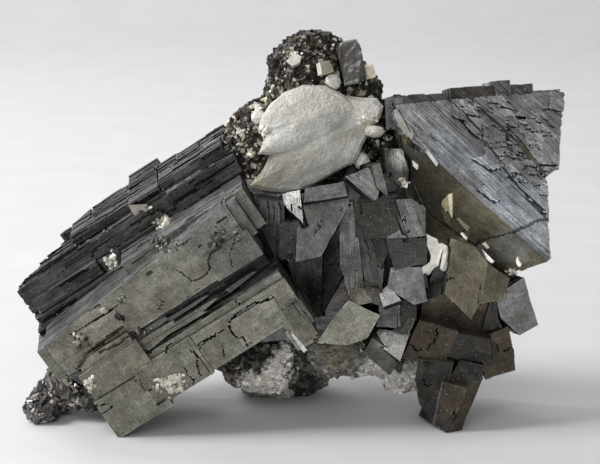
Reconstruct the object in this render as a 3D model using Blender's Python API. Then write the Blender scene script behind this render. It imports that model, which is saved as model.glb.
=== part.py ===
"""A hand-sized arsenopyrite specimen: groups of stepped metallic crystals grown with calcite on a lump of
quartz and sulphide. Every crystal is a block with flat faces in its own frame, trimmed by planes and covered
with thin growth plates. Sizes are millimetres here and become metres when a mesh is made."""

import math
import random

import bmesh
import bpy
from mathutils import Matrix, Vector, noise

MM = 0.001
GAP = 0.35  # clearance between two minerals that touch, so that each stays a solid of its own
PLATE_BITE = 1.5  # how far a growth plate reaches into the crystal that carries it
FLOOR = ((0, 0, 0), (0, 0, -1))  # the surface the specimen stands on, as a point and an outward direction

# Colours are linear, roughness and metallic are typical of each mineral.
ARSENOPYRITE = ("arsenopyrite", (0.16, 0.155, 0.14), 0.38, 0.9)
SULPHIDE = ("granular_sulphide", (0.07, 0.065, 0.055), 0.45, 0.6)
SPHALERITE = ("sphalerite", (0.035, 0.028, 0.026), 0.3, 0.3)
CALCITE = ("calcite", (0.55, 0.54, 0.5), 0.55, 0.0)
QUARTZ = ("quartz_matrix", (0.42, 0.4, 0.34), 0.7, 0.0)

# The left group: three parallel crystals that rise to the right. The origin is the lowest corner of the slab.
LEFT_ORIGIN = (-34.4, -11.1, -0.4)
LEFT_ALONG = (0.842, 0.0, 0.539)
LEFT_FACING = (0.068, -0.992, -0.105)

# The right crystal: its ridge runs down to the right, and its striated face looks up and to the right.
RIDGE_TOP = (20.7, -2.0, 64.9)
RIDGE_ALONG = (0.743, -0.139, -0.654)
STRIATED_FACING = (0.283, -0.820, 0.496)
SMOOTH_FACING = (-0.473, -0.801, -0.367)  # the brown face on the other side of the ridge
SMOOTH_FACE_PROUD = 2.5  # how far that face stands out from the ridge's top
RIGHT_TOP = ((20.7, -2.0, 65.5), (-0.092, 0.15, 1.0))
RIGHT_SIDE = ((51.0, -4.0, 45.0), (1.0, 0.06, 0.0))
RIGHT_LEFT = ((19.7, 0.0, 65.0), (-1.0, -0.1, -0.25))
RIGHT_UNDER = ((51.2, -9.5, 35.9), (0.5, 0.0, -0.87))
OVERHANG_SIDE = ((55.3, 4.0, 67.0), (1.0, 0.1, -0.13))
OVERHANG_UNDER = ((51.5, 0.0, 52.4), (-0.25, 0.0, -1.0))

# Terraces on the striated face: corners seen from the front, the depth of their middle, and their thickness.
TERRACES = {
    "upper right": (((35.8, 66.2), (55.4, 66.4), (53.1, 52.5), (51.4, 51.8)), 2.9, 3.2),
    "raised triangle": (((42.9, 61.2), (48.3, 62.2), (51.6, 54.2), (50.9, 51.3)), 0.5, 4.0),
    "left triangle": (((31.7, 66.3), (36.6, 66.4), (38.8, 64.1), (38.2, 59.4)), 1.9, 3.0),
    "small triangle": (((38.4, 58.2), (41.9, 58.7), (44.2, 54.2), (42.5, 53.2)), -1.4, 3.0),
    "lower right": (((41.5, 54.0), (49.7, 54.0), (51.2, 49.4), (51.0, 44.4), (45.4, 49.4)), -2.5, 3.0),
    "ridge sliver": (((20.6, 64.8), (25.0, 61.1), (26.7, 56.7), (23.7, 58.9)), -4.2, 3.0),
}

# Crystals below the ridge: corners of the front face, its depth, which way it faces, and thickness.
BELOW_RIDGE = {
    "point": (
        ((31.6, 39.7), (36.4, 38.3), (38.9, 34.5), (37.9, 26.9), (36.0, 22.8), (30.4, 28.4)),
        -6.6, (-0.2, -0.96, -0.12), 18,
    ),
    "point's grey side": (
        ((37.5, 35.5), (43.6, 31.2), (42.4, 26.8), (37.3, 26.4)),
        -6.0, (0.25, -0.95, 0.1), 15,
    ),
    "grey block": (
        ((40.9, 27.4), (46.6, 31.0), (49.5, 21.5), (45.8, 19.6), (42.0, 23.1)),
        -4.6, (0.12, -0.97, 0.18), 15,
    ),
}

# The right foot: dark blocks, mostly upright, that lean to the left as they go down to one corner.
FOOT = {
    "left": (((25.6, 23.0), (33.4, 20.9), (30.4, 12.6), (22.4, 14.6)), -6.0, (-0.12, -0.98, -0.12), 14),
    "right": (
        ((32.1, 20.6), (39.8, 19.3), (40.3, 14.2), (34.1, 14.9), (31.3, 15.5)),
        -6.7, (-0.1, -0.98, -0.1), 14,
    ),
    "middle": (
        ((33.9, 15.0), (38.7, 13.9), (38.4, 10.6), (34.2, 8.6), (31.8, 11.2)),
        -6.9, (0.0, -0.98, -0.18), 14,
    ),
    "toe": (((30.4, 10.5), (35.1, 9.4), (31.9, -0.2), (28.7, 1.2)), -7.2, (-0.25, -0.96, -0.1), 12),
    "toe side": (((34.6, 9.2), (38.6, 10.6), (34.4, -0.2), (31.2, 0.2)), -6.6, (0.5, -0.86, -0.1), 10),
    "heel": (
        ((25.6, 15.0), (32.3, 14.5), (31.4, 9.0), (29.0, 0.6), (26.0, 4.9), (25.0, 10.0)),
        -5.4, (-0.3, -0.94, -0.15), 12,
    ),
    "outer": (
        ((39.5, 19.6), (43.5, 21.3), (44.7, 16.3), (45.3, 11.7), (39.2, 10.0), (38.4, 13.1)),
        -4.2, (0.15, -0.97, -0.15), 13,
    ),
    "upper": (
        ((26.4, 26.2), (33.1, 28.6), (40.6, 28.0), (42.0, 20.5), (34.1, 18.6), (26.0, 20.5)),
        -3.6, (-0.1, -0.97, -0.2), 15,
    ),
    "upper wedge": (((39.8, 27.0), (42.2, 21.0), (38.2, 19.9)), -4.9, (0.1, -0.97, -0.2), 10),
}

# Blocky crystals on the back: centre of the outer face, direction along it, facing, length, height, depth.
BACK_OF_CENTRE = (
    ((9.5, 33.0, 24.5), (-0.9, 0.1, -0.42), (-0.2, 0.95, 0.1), 12.0, 9.0, 14.0),
    ((-3.0, 33.0, 27.0), (-0.8, 0.1, 0.6), (0.15, 0.97, -0.1), 9.0, 8.0, 16.0),
    ((19.5, 29.0, 30.0), (-0.5, 0.2, 0.84), (0.25, 0.95, 0.05), 10.0, 7.0, 14.0),
    ((-9.0, 29.0, 20.0), (-0.96, 0.0, 0.28), (-0.25, 0.93, -0.2), 8.0, 7.0, 14.0),
)
BACK_OF_RIGHT = (
    ((44.0, 27.0, 55.0), (-0.95, 0.1, 0.28), (0.2, 0.93, 0.3), 15.0, 12.0, 16.0),
    ((28.0, 26.0, 56.5), (-0.85, 0.1, -0.5), (-0.15, 0.96, 0.2), 11.0, 10.0, 14.0),
    ((46.0, 22.0, 36.0), (-0.6, 0.2, 0.78), (0.45, 0.88, -0.1), 12.0, 8.0, 12.0),
    ((30.0, 21.0, 15.0), (-0.93, 0.2, 0.3), (-0.1, 0.97, -0.2), 11.0, 9.0, 10.0),
    ((41.5, 18.0, 16.5), (-0.7, 0.3, -0.64), (0.35, 0.92, -0.1), 9.0, 8.0, 10.0),
)

# Small crystals at all angles that fill the valley between the two large groups.
VALLEY = {
    "box": (((12.6, 46.8), (20.1, 48.2), (23.1, 40.5), (12.8, 39.6)), -9.0, (-0.35, -0.9, -0.22), 12),
    "box side": (
        ((19.7, 48.1), (23.9, 48.0), (26.5, 46.1), (26.5, 40.7), (22.8, 40.6)),
        -9.5, (0.35, -0.92, 0.15), 12,
    ),
    "light wedge": (
        ((2.0, 48.2), (10.7, 50.4), (11.7, 46.7), (6.1, 36.4), (1.0, 35.3)),
        -6.0, (0.05, -0.95, 0.3), 13,
    ),
    "wedge top": (((3.0, 49.7), (10.6, 50.7), (11.2, 48.2), (2.6, 47.0)), -6.7, (0.05, -0.9, 0.4), 8),
    "bright chip": (((-1.7, 48.3), (1.9, 49.1), (2.6, 43.2), (-1.1, 46.3)), -6.7, (-0.2, -0.85, 0.5), 8),
    "dark face": (
        ((-7.3, 47.3), (-1.2, 46.7), (-1.1, 34.6), (-6.4, 33.6), (-8.1, 44.1)),
        -4.5, (-0.15, -0.95, -0.22), 12,
    ),
    "striated side": (
        ((-11.3, 40.8), (-8.9, 45.4), (-6.7, 41.1), (-6.1, 34.6)),
        -4.6, (-0.62, -0.76, 0.16), 9,
    ),
    "between": (((-1.9, 42.6), (1.8, 43.0), (1.2, 34.3), (-2.2, 35.8)), -6.2, (-0.1, -0.98, -0.1), 9),
    "underside": (
        ((-0.4, 35.4), (6.4, 36.8), (6.0, 22.2), (4.2, 22.4), (1.0, 29.1)),
        -4.4, (0.1, -0.88, -0.42), 11,
    ),
    "cleft": (
        ((8.2, 40.0), (10.4, 46.5), (10.9, 32.3), (6.0, 21.6), (5.8, 34.4)),
        -2.0, (-0.35, -0.9, -0.1), 11,
    ),
    "column": (
        ((9.8, 46.2), (12.7, 46.8), (13.6, 38.7), (15.1, 29.5), (11.5, 28.8), (10.1, 33.1)),
        -5.6, (-0.25, -0.96, 0.05), 12,
    ),
    "second column": (
        ((13.2, 39.8), (16.3, 39.7), (18.6, 34.0), (18.1, 29.2), (15.0, 29.8)),
        -6.0, (-0.1, -0.98, 0.1), 12,
    ),
    "column chip": (((16.2, 39.9), (19.1, 39.8), (19.4, 37.1), (17.8, 33.4)), -6.8, (0.1, -0.98, 0.05), 11),
    "right block": (
        ((18.8, 40.2), (27.0, 40.0), (27.0, 34.7), (20.6, 33.2)),
        -7.6, (0.05, -0.95, -0.28), 12,
    ),
    "lower right block": (
        ((19.9, 33.6), (26.1, 33.8), (27.0, 27.2), (24.5, 26.5), (19.2, 29.7)),
        -7.2, (-0.05, -0.95, 0.2), 12,
    ),
    "cube": (((17.6, 28.6), (19.4, 30.1), (21.9, 27.5), (18.4, 26.2)), -7.5, (-0.2, -0.8, 0.55), 8),
    "right chip": (((21.4, 27.2), (25.0, 26.6), (25.0, 23.0), (22.2, 24.0)), -6.8, (0.1, -0.96, 0.2), 9),
    "middle chip": (((17.7, 26.6), (21.7, 27.0), (21.8, 21.9), (17.3, 21.8)), -7.2, (-0.1, -0.97, 0.1), 9),
    "lower chip": (((21.5, 24.5), (24.8, 23.3), (23.4, 20.6), (20.6, 21.2)), -7.3, (0.05, -0.97, 0.2), 9),
    "column foot": (((11.4, 29.5), (14.8, 30.1), (16.2, 27.0), (12.2, 26.1)), -6.8, (-0.15, -0.9, 0.4), 9),
    "second foot": (((14.6, 31.0), (18.2, 30.1), (18.7, 25.8), (15.4, 26.9)), -7.0, (0.1, -0.97, 0.1), 9),
    "rhomb": (
        ((11.5, 27.5), (17.7, 24.8), (15.2, 20.3), (11.5, 18.9), (5.4, 19.1), (8.3, 23.7)),
        -9.6, (-0.08, -0.97, 0.2), 13,
    ),
    "low block top": (
        ((17.6, 20.8), (23.9, 20.4), (21.8, 15.2), (16.3, 18.8)),
        -6.6, (-0.05, -0.86, 0.5), 10,
    ),
    "low block front": (
        ((16.3, 19.8), (21.9, 15.2), (19.9, 10.9), (14.6, 16.1)),
        -6.2, (-0.12, -0.9, -0.4), 9,
    ),
    "striated triangle": (
        ((10.8, 52.2), (16.2, 54.1), (17.6, 50.2), (16.9, 47.0)),
        -7.4, (0.2, -0.9, 0.38), 11,
    ),
    "second triangle": (
        ((15.9, 54.4), (17.7, 54.9), (19.2, 48.2), (17.0, 50.1)),
        -7.8, (0.3, -0.93, 0.2), 11,
    ),
    "below triangle": (
        ((10.6, 51.8), (17.0, 46.9), (12.5, 45.4), (10.9, 48.6)),
        -5.4, (-0.3, -0.9, -0.3), 10,
    ),
    "crumb": (
        ((18.5, 57.2), (21.8, 57.1), (23.4, 53.0), (23.0, 49.0), (19.1, 51.7)),
        -5.2, (0.1, -0.98, 0.15), 11,
    ),
    "lower crumb": (
        ((18.0, 52.1), (19.4, 52.7), (24.3, 47.3), (18.9, 47.1)),
        -5.6, (0.25, -0.93, 0.26), 10,
    ),
    "upper left": (((-6.9, 49.8), (0.2, 49.3), (-3.5, 46.2)), -3.4, (-0.1, -0.95, 0.3), 8),
    "far left": (((-8.7, 50.7), (-6.3, 50.3), (-3.2, 45.8), (-7.9, 46.1)), -2.6, (-0.1, -0.95, 0.1), 8),
    "end slab": (
        ((-1.8, 26.1), (1.6, 27.3), (5.6, 20.4), (3.6, 19.9), (-1.9, 24.3)),
        -8.3, (0.3, -0.75, 0.6), 6,
    ),
}


def axes_at(origin, along, facing):
    """A crystal's own frame: X runs along it, Y goes into it from its front face, Z goes up that face."""
    x = Vector(along).normalized()
    front = Vector(facing)
    y = -(front - front.dot(x) * x).normalized()
    turn = Matrix((x, y, x.cross(y))).transposed().to_4x4()
    return Matrix.Translation(Vector(origin)) @ turn


def trim(bm, planes):
    """Cuts a convex mesh by planes, each a point and an outward direction, and closes each cut."""
    for point, outward in planes:
        geometry = bm.verts[:] + bm.edges[:] + bm.faces[:]
        cut = bmesh.ops.bisect_plane(
            bm, geom=geometry, dist=1e-5, plane_co=point, plane_no=outward, clear_outer=True
        )
        rim = [item for item in cut["geom_cut"] if isinstance(item, bmesh.types.BMEdge)]
        if rim:
            bmesh.ops.contextual_create(bm, geom=rim)


def block(frame, x, y, z, grow=0.0, cuts=()):
    """A block between two limits along each axis of its frame; grow makes it that much bigger all round."""
    low = Vector((x[0], y[0], z[0])) - Vector((grow, grow, grow))
    high = Vector((x[1], y[1], z[1])) + Vector((grow, grow, grow))
    size = Matrix.Diagonal((*(high - low), 1.0))
    bm = bmesh.new()
    bmesh.ops.create_cube(bm, size=1.0, matrix=frame @ Matrix.Translation((low + high) / 2) @ size)
    grown = [(Vector(p) + grow * Vector(n).normalized(), Vector(n)) for p, n in cuts]
    trim(bm, grown)
    bmesh.ops.recalc_face_normals(bm, faces=bm.faces)
    return bm


def facet_block(corners, depth, facing, thickness, grow=0.0, cuts=()):
    """A crystal behind one convex front face; its corners are as seen from the front, at this mean depth."""
    front = Vector(facing).normalized()
    x, z = (sum(corner[i] for corner in corners) / len(corners) for i in (0, 1))
    middle = Vector((x, depth, z))

    def on_face(corner):
        aside = Vector((corner[0] - x, 0.0, corner[1] - z))
        return middle + aside - Vector((0.0, aside.dot(front) / front.y, 0.0))

    rim = [on_face(corner) for corner in corners]
    planes = [(middle, front), (middle - thickness * front, -front)]
    for low, high in zip(rim, rim[1:] + rim[:1]):
        side = (high - low).cross(front)
        if side.dot(low - middle) < 0:
            side.negate()
        planes.append((low, side))
    bm = bmesh.new()
    bmesh.ops.create_cube(bm, size=160.0, matrix=Matrix.Translation(middle))
    trim(bm, [(Vector(p) + grow * Vector(n).normalized(), Vector(n)) for p, n in [*planes, *cuts]])
    bmesh.ops.recalc_face_normals(bm, faces=bm.faces)
    return bm


def facet_blocks(crystals, grow, cuts=()):
    return [facet_block(*crystal, grow, cuts) for crystal in crystals.values()]


def box_crystals(crystals, grow, cuts=()):
    """Rectangular crystals, each with a smaller plate on its outer face."""
    solids = []
    for centre, along, facing, length, height, depth in crystals:
        frame = axes_at(centre, along, facing)
        x, z = (-length / 2, length / 2), (-height / 2, height / 2)
        solids.append(block(frame, x, (0.0, depth), z, grow, cuts))
        plate_x, plate_z = (x[0] + 0.9, x[1] * 0.35), (z[0] * 0.4, z[1] - 0.7)
        solids.append(block(frame, plate_x, (-0.8, 3.0), plate_z, grow, cuts))
    return solids


def tiles(rng, x, z, smallest):
    """Splits a rectangle again and again into uneven smaller ones, as growth plates share a crystal face."""
    width, height = x[1] - x[0], z[1] - z[0]
    if max(width, height) < 2 * smallest or (max(width, height) < 5 * smallest and rng.random() < 0.25):
        return [(x, z)]
    share = rng.uniform(0.3, 0.7)
    if width > height * rng.uniform(0.7, 1.6):
        middle = x[0] + share * width
        return tiles(rng, (x[0], middle), z, smallest) + tiles(rng, (middle, x[1]), z, smallest)
    middle = z[0] + share * height
    return tiles(rng, x, (z[0], middle), smallest) + tiles(rng, x, (middle, z[1]), smallest)


def plated(seed, frame, x, y, z, grow=0.0, cuts=(), smallest=5.0, proud=0.7, bare=0.35):
    """Growth plates on the front of a block: a share of the tiles stays bare, the rest stand proud."""
    rng = random.Random(seed)
    plates = []
    for (x0, x1), (z0, z1) in tiles(rng, x, z, smallest):
        height = rng.uniform(0.25, 1.0) * proud
        inset = [rng.uniform(0.03, 0.3) for _ in range(4)]
        if rng.random() < bare:
            continue
        plate_x = (x0 + inset[0], x1 - inset[1])
        plate_z = (z0 + inset[2], z1 - inset[3])
        plate_y = (y - height, y + PLATE_BITE + 0.3 * inset[0])
        plates.append(block(frame, plate_x, plate_y, plate_z, grow, cuts))
    return plates


def left_solids(grow=0.0):
    """Back crystal, front crystal and slab of the left group, with their ledges."""
    frame = axes_at(LEFT_ORIGIN, LEFT_ALONG, LEFT_FACING)
    rng = random.Random(9)

    def part(x, y, z, cuts=()):
        """One block of the group; its limits are a hair uneven, so that no two blocks share a plane."""
        uneven = [[limit + rng.uniform(-0.12, 0.12) for limit in limits] for limits in (x, y, z)]
        return block(frame, *uneven, grow, cuts)

    def plane(point, outward):
        return frame @ Vector(point), frame.to_3x3() @ Vector(outward)

    back_corner = plane((-2.4, 19.0, 0.0), (-0.582, 0.814, 0.0))
    under_front = plane((0.0, 1.6, 16.6), (0.0, -0.68, -0.73))
    top_of_front = plane((0.0, 0.0, 24.2), (-0.1, 0.0, 1.0))
    solids = [
        # back crystal: one long prism, with long ledges down its front and two low steps on its roof
        part((-2.6, 49.3), (16.0, 36.5), (12.0, 32.6), [back_corner]),
        part((3.0, 49.0), (18.5, 36.8), (30.0, 33.2), [back_corner]),
        part((15.0, 48.6), (24.0, 37.0), (30.0, 33.8), [back_corner]),
        part((26.0, 33.0), (30.0, 37.2), (30.0, 34.9)),
        part((-1.8, 31.0), (15.0, 20.0), (28.7, 31.9)),
        part((-0.8, 14.6), (13.9, 20.0), (26.9, 29.6)),
        part((15.2, 28.4), (14.2, 20.0), (26.4, 29.3)),
        part((-2.2, 26.0), (12.9, 20.0), (22.4, 26.2)),
        part((-2.9, 11.0), (11.6, 20.0), (20.6, 24.2)),
        part((34.0, 49.1), (15.2, 20.0), (24.5, 31.4)),
        # front crystal: one wide plate with a slanting underside, and a roof that rises to the right
        part((-1.0, 44.4), (1.4, 22.0), (11.6, 29.6), [under_front, top_of_front]),
        part((14.6, 46.4), (2.9, 22.0), (20.0, 28.2), [top_of_front]),
        part((20.0, 48.2), (6.0, 22.0), (20.0, 28.6)),
        part((-3.5, 10.4), (3.4, 20.0), (15.6, 23.0)),
        part((34.9, 45.2), (0.7, 9.0), (16.5, 22.6)),
        # plates in the lower left of the front crystal, and in its dark slot
        part((1.3, 15.0), (-0.7, 9.0), (9.8, 15.6)),
        part((2.6, 14.2), (0.2, 9.0), (15.0, 17.8)),
        part((-0.6, 6.4), (0.8, 9.0), (16.4, 19.4)),
        part((7.8, 14.6), (0.6, 9.0), (19.4, 23.0)),
        # slab: a thick plate below the front crystal, standing on its left corner
        part((9.8, 45.8), (0.4, 15.0), (1.7, 11.6)),
        part((0.6, 13.2), (0.1, 15.0), (0.0, 9.2), [FLOOR]),
        part((31.8, 42.0), (-0.5, 3.0), (3.1, 8.8)),
        part((10.6, 24.0), (0.0, 3.0), (1.2, 10.6)),
        part((24.2, 45.9), (-0.1, 3.0), (1.9, 10.4)),
        # thin plates that fan out below the slab's right end
        part((41.6, 45.3), (-0.7, 8.0), (-3.0, 5.0)),
        part((40.4, 43.8), (0.3, 8.0), (-4.4, 3.0)),
        part((43.6, 46.2), (0.6, 8.0), (-0.8, 4.6)),
        # what ties the group together behind
        part((2.0, 44.0), (13.0, 33.0), (4.0, 17.0)),
        part((8.0, 38.0), (30.0, 39.0), (10.0, 27.0)),
    ]
    behind = frame @ Matrix.Translation((46.0, 38.0, 0.0)) @ Matrix.Rotation(math.pi, 4, "Z")
    solids += plated(3, behind, (0.0, 30.0), 0.0, (15.5, 31.5), grow, smallest=6.0, proud=1.2)
    roof = frame @ Matrix.Translation((0.0, 0.0, 33.2)) @ Matrix.Rotation(math.pi / 2, 4, "X")
    solids += plated(12, roof, (4.0, 48.0), 0.0, (-33.0, -18.5), grow, [back_corner], 4.5, 0.7, 0.3)
    return solids


def right_solids(grow=0.0):
    """The big striated crystal, the crystals under it and the dark blocks of the foot."""
    frame = axes_at(RIDGE_TOP, RIDGE_ALONG, STRIATED_FACING)
    smooth_face = Vector(RIDGE_TOP) + SMOOTH_FACE_PROUD * Vector(SMOOTH_FACING)
    trims = [(smooth_face, SMOOTH_FACING), RIGHT_TOP, RIGHT_SIDE, RIGHT_LEFT, RIGHT_UNDER]
    overhang = [RIGHT_TOP, OVERHANG_SIDE, OVERHANG_UNDER]
    solids = [
        block(frame, (-9.0, 46.0), (0.0, 23.0), (-13.0, 34.0), grow, trims),
        block(frame, (4.0, 44.0), (0.0, 23.0), (6.0, 40.0), grow, overhang),
    ]
    solids += [
        facet_block(corners, depth, STRIATED_FACING, thickness, grow, [RIGHT_TOP])
        for corners, depth, thickness in TERRACES.values()
    ]

    crown = axes_at((20.0, 0.6, 65.0), (1.0, 0.1, 0.04), (0.1, -1.0, 0.2))
    for x0, x1, y0, height in (
        (-1.1, 2.4, 0.6, 1.4),
        (0.6, 11.0, 1.4, 1.9),
        (12.4, 21.6, 2.4, 2.9),
        (20.6, 24.6, 3.4, 3.8),
        (24.8, 29.4, 4.2, 3.0),
    ):
        solids.append(block(crown, (x0, x1), (y0, 13.0), (-5.0, height), grow))
    solids += facet_blocks(BELOW_RIDGE, grow)
    solids += facet_blocks(FOOT, grow, [FLOOR])
    inside = axes_at((34.0, 4.0, 20.0), (0.95, 0.0, -0.3), (0.0, -1.0, 0.0))
    solids.append(block(inside, (-8.0, 8.0), (0.0, 16.0), (-10.0, 16.0), grow, [FLOOR]))

    behind = axes_at((36.0, 22.0, 44.0), (-0.86, 0.1, 0.5), (0.12, 0.97, 0.2))
    solids.append(block(behind, (-17.0, 15.0), (0.0, 14.0), (-9.0, 14.0), grow, [RIGHT_SIDE]))
    solids += plated(31, behind, (-16.0, 14.0), 0.0, (-8.5, 13.5), grow, [RIGHT_SIDE], 5.5, 1.3, 0.3)
    lower = axes_at((37.0, 20.5, 26.0), (-0.9, 0.2, -0.4), (0.2, 0.9, -0.38))
    solids.append(block(lower, (-10.0, 9.0), (0.0, 14.0), (-9.0, 10.0), grow))
    solids += plated(33, lower, (-9.5, 8.5), 0.0, (-8.5, 9.5), grow, (), 5.0, 1.0, 0.4)
    solids += box_crystals(BACK_OF_RIGHT, grow, [RIGHT_SIDE])
    return solids


def centre_solids(grow=0.0):
    """The small crystals of the valley, the core they grow from, and one larger crystal at the back."""
    solids = facet_blocks(VALLEY, grow)
    core = axes_at((9.0, 1.0, 34.0), (1.0, 0.0, 0.1), (0.0, -1.0, 0.0))
    solids.append(block(core, (-17.0, 18.0), (0.0, 20.0), (-16.0, 17.0), grow))
    hind = axes_at((6.0, 26.0, 38.0), (-0.95, 0.1, 0.3), (-0.1, 0.96, 0.25))
    solids.append(block(hind, (-13.0, 12.0), (0.0, 14.0), (-10.0, 12.0), grow))
    solids += plated(41, hind, (-12.5, 11.5), 0.0, (-9.5, 11.5), grow, (), 5.0, 1.3, 0.3)
    solids += box_crystals(BACK_OF_CENTRE, grow)
    return solids


def knobbly(centre, radii, seed, rough, detail, facets=3):
    """A lump: an icosphere pushed in and out by noise, so that it has bumps and hollows."""
    bm = bmesh.new()
    bmesh.ops.create_icosphere(bm, subdivisions=facets, radius=1.0)
    for vert in bm.verts:
        spot = vert.co.copy()
        bump = noise.fractal(spot * detail + Vector((seed, 0, 0)), 1.0, 2.0, 3)
        chunk = noise.cell(spot * detail * 1.3 + Vector((0, seed, 0))) - 0.5
        scale = 1.0 + rough * (bump + 0.35 * chunk)
        vert.co = Vector(centre) + Vector([r * c * scale for r, c in zip(radii, spot)])
    return bm


def lump_solids(grow=0.0):
    """The granular sulphide that stands up at the back of the calcite."""
    lumps = (
        ((4.2, 9.0, 67.0), (9.6, 9.0, 12.05), 3, 0.10, 2.2, 3),
        ((2.0, 10.0, 53.0), (16.0, 12.0, 14.0), 7, 0.12, 2.0, 3),
        ((12.6, 8.0, 62.0), (6.2, 7.0, 11.0), 11, 0.12, 2.4, 3),
        ((-7.6, 9.0, 53.4), (5.8, 7.0, 8.8), 17, 0.12, 2.4, 3),
    )
    return [
        knobbly(centre, [r + grow for r in radii], seed, rough, detail, facets)
        for centre, radii, seed, rough, detail, facets in lumps
    ]


def domed_leaf(outline, centre, frame, front, back, grow=0.0):
    """A crystal like a thick leaf: rings of its outline shrink towards the middle as they rise to a dome."""
    rings = (1.0, 0.93, 0.78, 0.55, 0.28)
    bm = bmesh.new()
    spread = 1.0 + grow / 9.0
    cx, cz = centre

    def ring(share, depth):
        points = [
            (cx + (x - cx) * share * spread, depth, cz + (z - cz) * share * spread) for x, z in outline
        ]
        return [bm.verts.new(frame @ Vector(point)) for point in points]

    def dome(height, side):
        return [(s, side * (height + grow) * math.sqrt(1.0 - (s * 0.97) ** 2)) for s in rings[1:]]

    faces = [*reversed(dome(back, 1.0)), (1.0, 0.0), *dome(front, -1.0)]
    loops = [ring(share, depth) for share, depth in faces]
    count = len(outline)
    for low, high in zip(loops, loops[1:]):
        for i in range(count):
            j = (i + 1) % count
            bm.faces.new((low[i], low[j], high[j], high[i]))
    for loop, depth in ((loops[0], faces[0][1] + 0.25), (loops[-1], faces[-1][1] - 0.25)):
        tip = bm.verts.new(frame @ Vector((cx, depth, cz)))
        for i in range(count):
            bm.faces.new((loop[i], loop[(i + 1) % count], tip))
    bmesh.ops.recalc_face_normals(bm, faces=bm.faces)
    return bm


def calcite_solids(grow=0.0):
    """The large curved calcite: two overlapping leaves with toothed left edges, leaning back a little."""
    frame = axes_at((4.6, -1.5, 59.0), (1.0, 0.05, 0.0), (0.0, -0.97, 0.24))
    lower = (
        (-12.6, -9.6), (-10.9, -7.4), (-9.6, -5.6), (-8.8, -3.9), (-6.0, 1.0), (0.0, 6.0), (7.0, 8.2),
        (12.6, 7.6), (14.0, 6.0), (13.2, 3.6), (11.8, 2.0), (10.2, -1.0), (8.0, -5.2), (4.4, -7.0),
        (0.4, -9.4), (-3.2, -10.9), (-7.4, -10.8), (-10.6, -10.4),
    )
    upper = (
        (-11.2, -3.5), (-9.9, -0.4), (-9.3, 0.8), (-11.0, 1.2), (-10.4, 4.0), (-8.4, 6.6), (-5.6, 9.0),
        (-2.0, 10.4), (2.4, 10.2), (6.2, 8.2), (8.4, 5.8), (6.8, 2.6), (2.6, -0.6), (-2.0, -2.2),
        (-6.6, -3.6),
    )
    return [
        domed_leaf(lower, (0.6, -2.4), frame, 2.2, 5.4, grow),
        domed_leaf(upper, (-2.0, 3.2), frame @ Matrix.Translation((0.0, -1.0, 0.0)), 2.3, 6.0, grow),
    ]


def pebble(centre, radii, seed, grow=0.0, rough=0.05):
    """A small rounded crystal."""
    return [knobbly(centre, [r + grow for r in radii], seed, rough, 1.4, 2)]


def small_calcites(grow=0.0):
    """Rounded calcite crystals on the sulphide, by name."""
    return {
        "round_calcite": pebble((8.4, 0.6, 69.6), (1.7, 1.6, 1.8), 2, grow),
        "oval_calcite": pebble((16.5, -1.6, 60.2), (2.4, 1.4, 1.3), 4, grow),
        "shadowed_calcite": pebble((14.2, -1.0, 54.0), (1.7, 1.5, 1.9), 6, grow),
        "pale_calcite": pebble((-6.4, 1.2, 62.6), (1.5, 1.3, 1.6), 9, grow, 0.12),
    }


def dark_crystal_solids(grow=0.0):
    """A smooth dark sphalerite crystal with a blunt point, at the top right of the sulphide."""
    frame = axes_at((12.2, 1.4, 73.4), (0.97, 0.1, 0.2), (0.05, -0.98, 0.1))
    cuts = [
        ((10.9, 0.0, 77.2), (-0.7, -0.1, 0.72)),
        ((13.0, 0.0, 77.0), (0.66, -0.1, 0.74)),
        ((11.8, 1.4, 76.6), (0.0, -0.6, 0.8)),
        ((10.2, 1.4, 73.4), (-0.75, -0.65, 0.1)),
        ((14.2, 1.6, 73.4), (0.7, -0.7, 0.0)),
    ]
    return [block(frame, (-2.4, 2.4), (-0.2, 6.0), (-4.2, 4.2), grow, cuts)]


def left_lump_solids(grow=0.0):
    """Rounded dark sphalerite at the left foot, with the blocky crystal that the group leans on."""
    chips = axes_at((-41.6, -0.4, 6.2), (0.8, 0.0, -0.6), (0.1, -0.97, 0.2))
    return [
        knobbly((-45.2, 4.6, 7.4), (5.4, 6.4, 4.0), 5, 0.16, 2.2, 3),
        knobbly((-50.6, 1.6, 2.4), (3.4, 4.6, 3.4), 6, 0.14, 2.2, 2),
        block(chips, (-2.2, 3.2), (0.0, 8.0), (-2.2, 2.2), grow),
        knobbly((-47.4, 6.4, 4.4), (5.4, 6.2, 4.0), 8, 0.14, 2.4, 2),
        knobbly((-36.0, 12.0, 9.6), (9.0, 8.0, 5.6), 4, 0.1, 2.0, 2),
    ]


def under_lump_solids(grow=0.0):
    """A dark sphalerite mass under the slab."""
    return [knobbly((-9.6, 6.0, 12.6), (5.4, 5.0, 3.6), 14, 0.14, 2.0, 3)]


def matrix_solids(grow=0.0):
    """Pale quartz rock that the groups grew on. Its lowest bulge is broken flat and carries the back."""
    lumps = (
        ((-2.0, 22.0, 7.5), (11.5, 9.5, 9.0), 21, 0.12, 1.8, 3),
        ((-5.4, 9.0, 12.0), (10.0, 9.0, 8.4), 23, 0.10, 1.9, 3),
        ((9.0, 9.0, 15.0), (13.0, 10.0, 8.0), 27, 0.10, 1.9, 3),
        ((23.0, 7.5, 11.0), (6.6, 7.5, 7.4), 29, 0.14, 2.0, 2),
        ((4.0, 18.0, 24.0), (20.0, 12.0, 13.0), 31, 0.13, 2.0, 3),
        ((-22.0, 13.0, 14.4), (9.0, 8.0, 7.0), 37, 0.14, 2.0, 2),
    )
    return [
        knobbly(centre, [r + grow for r in radii], seed, rough, detail, facets)
        for centre, radii, seed, rough, detail, facets in lumps
    ]


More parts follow.
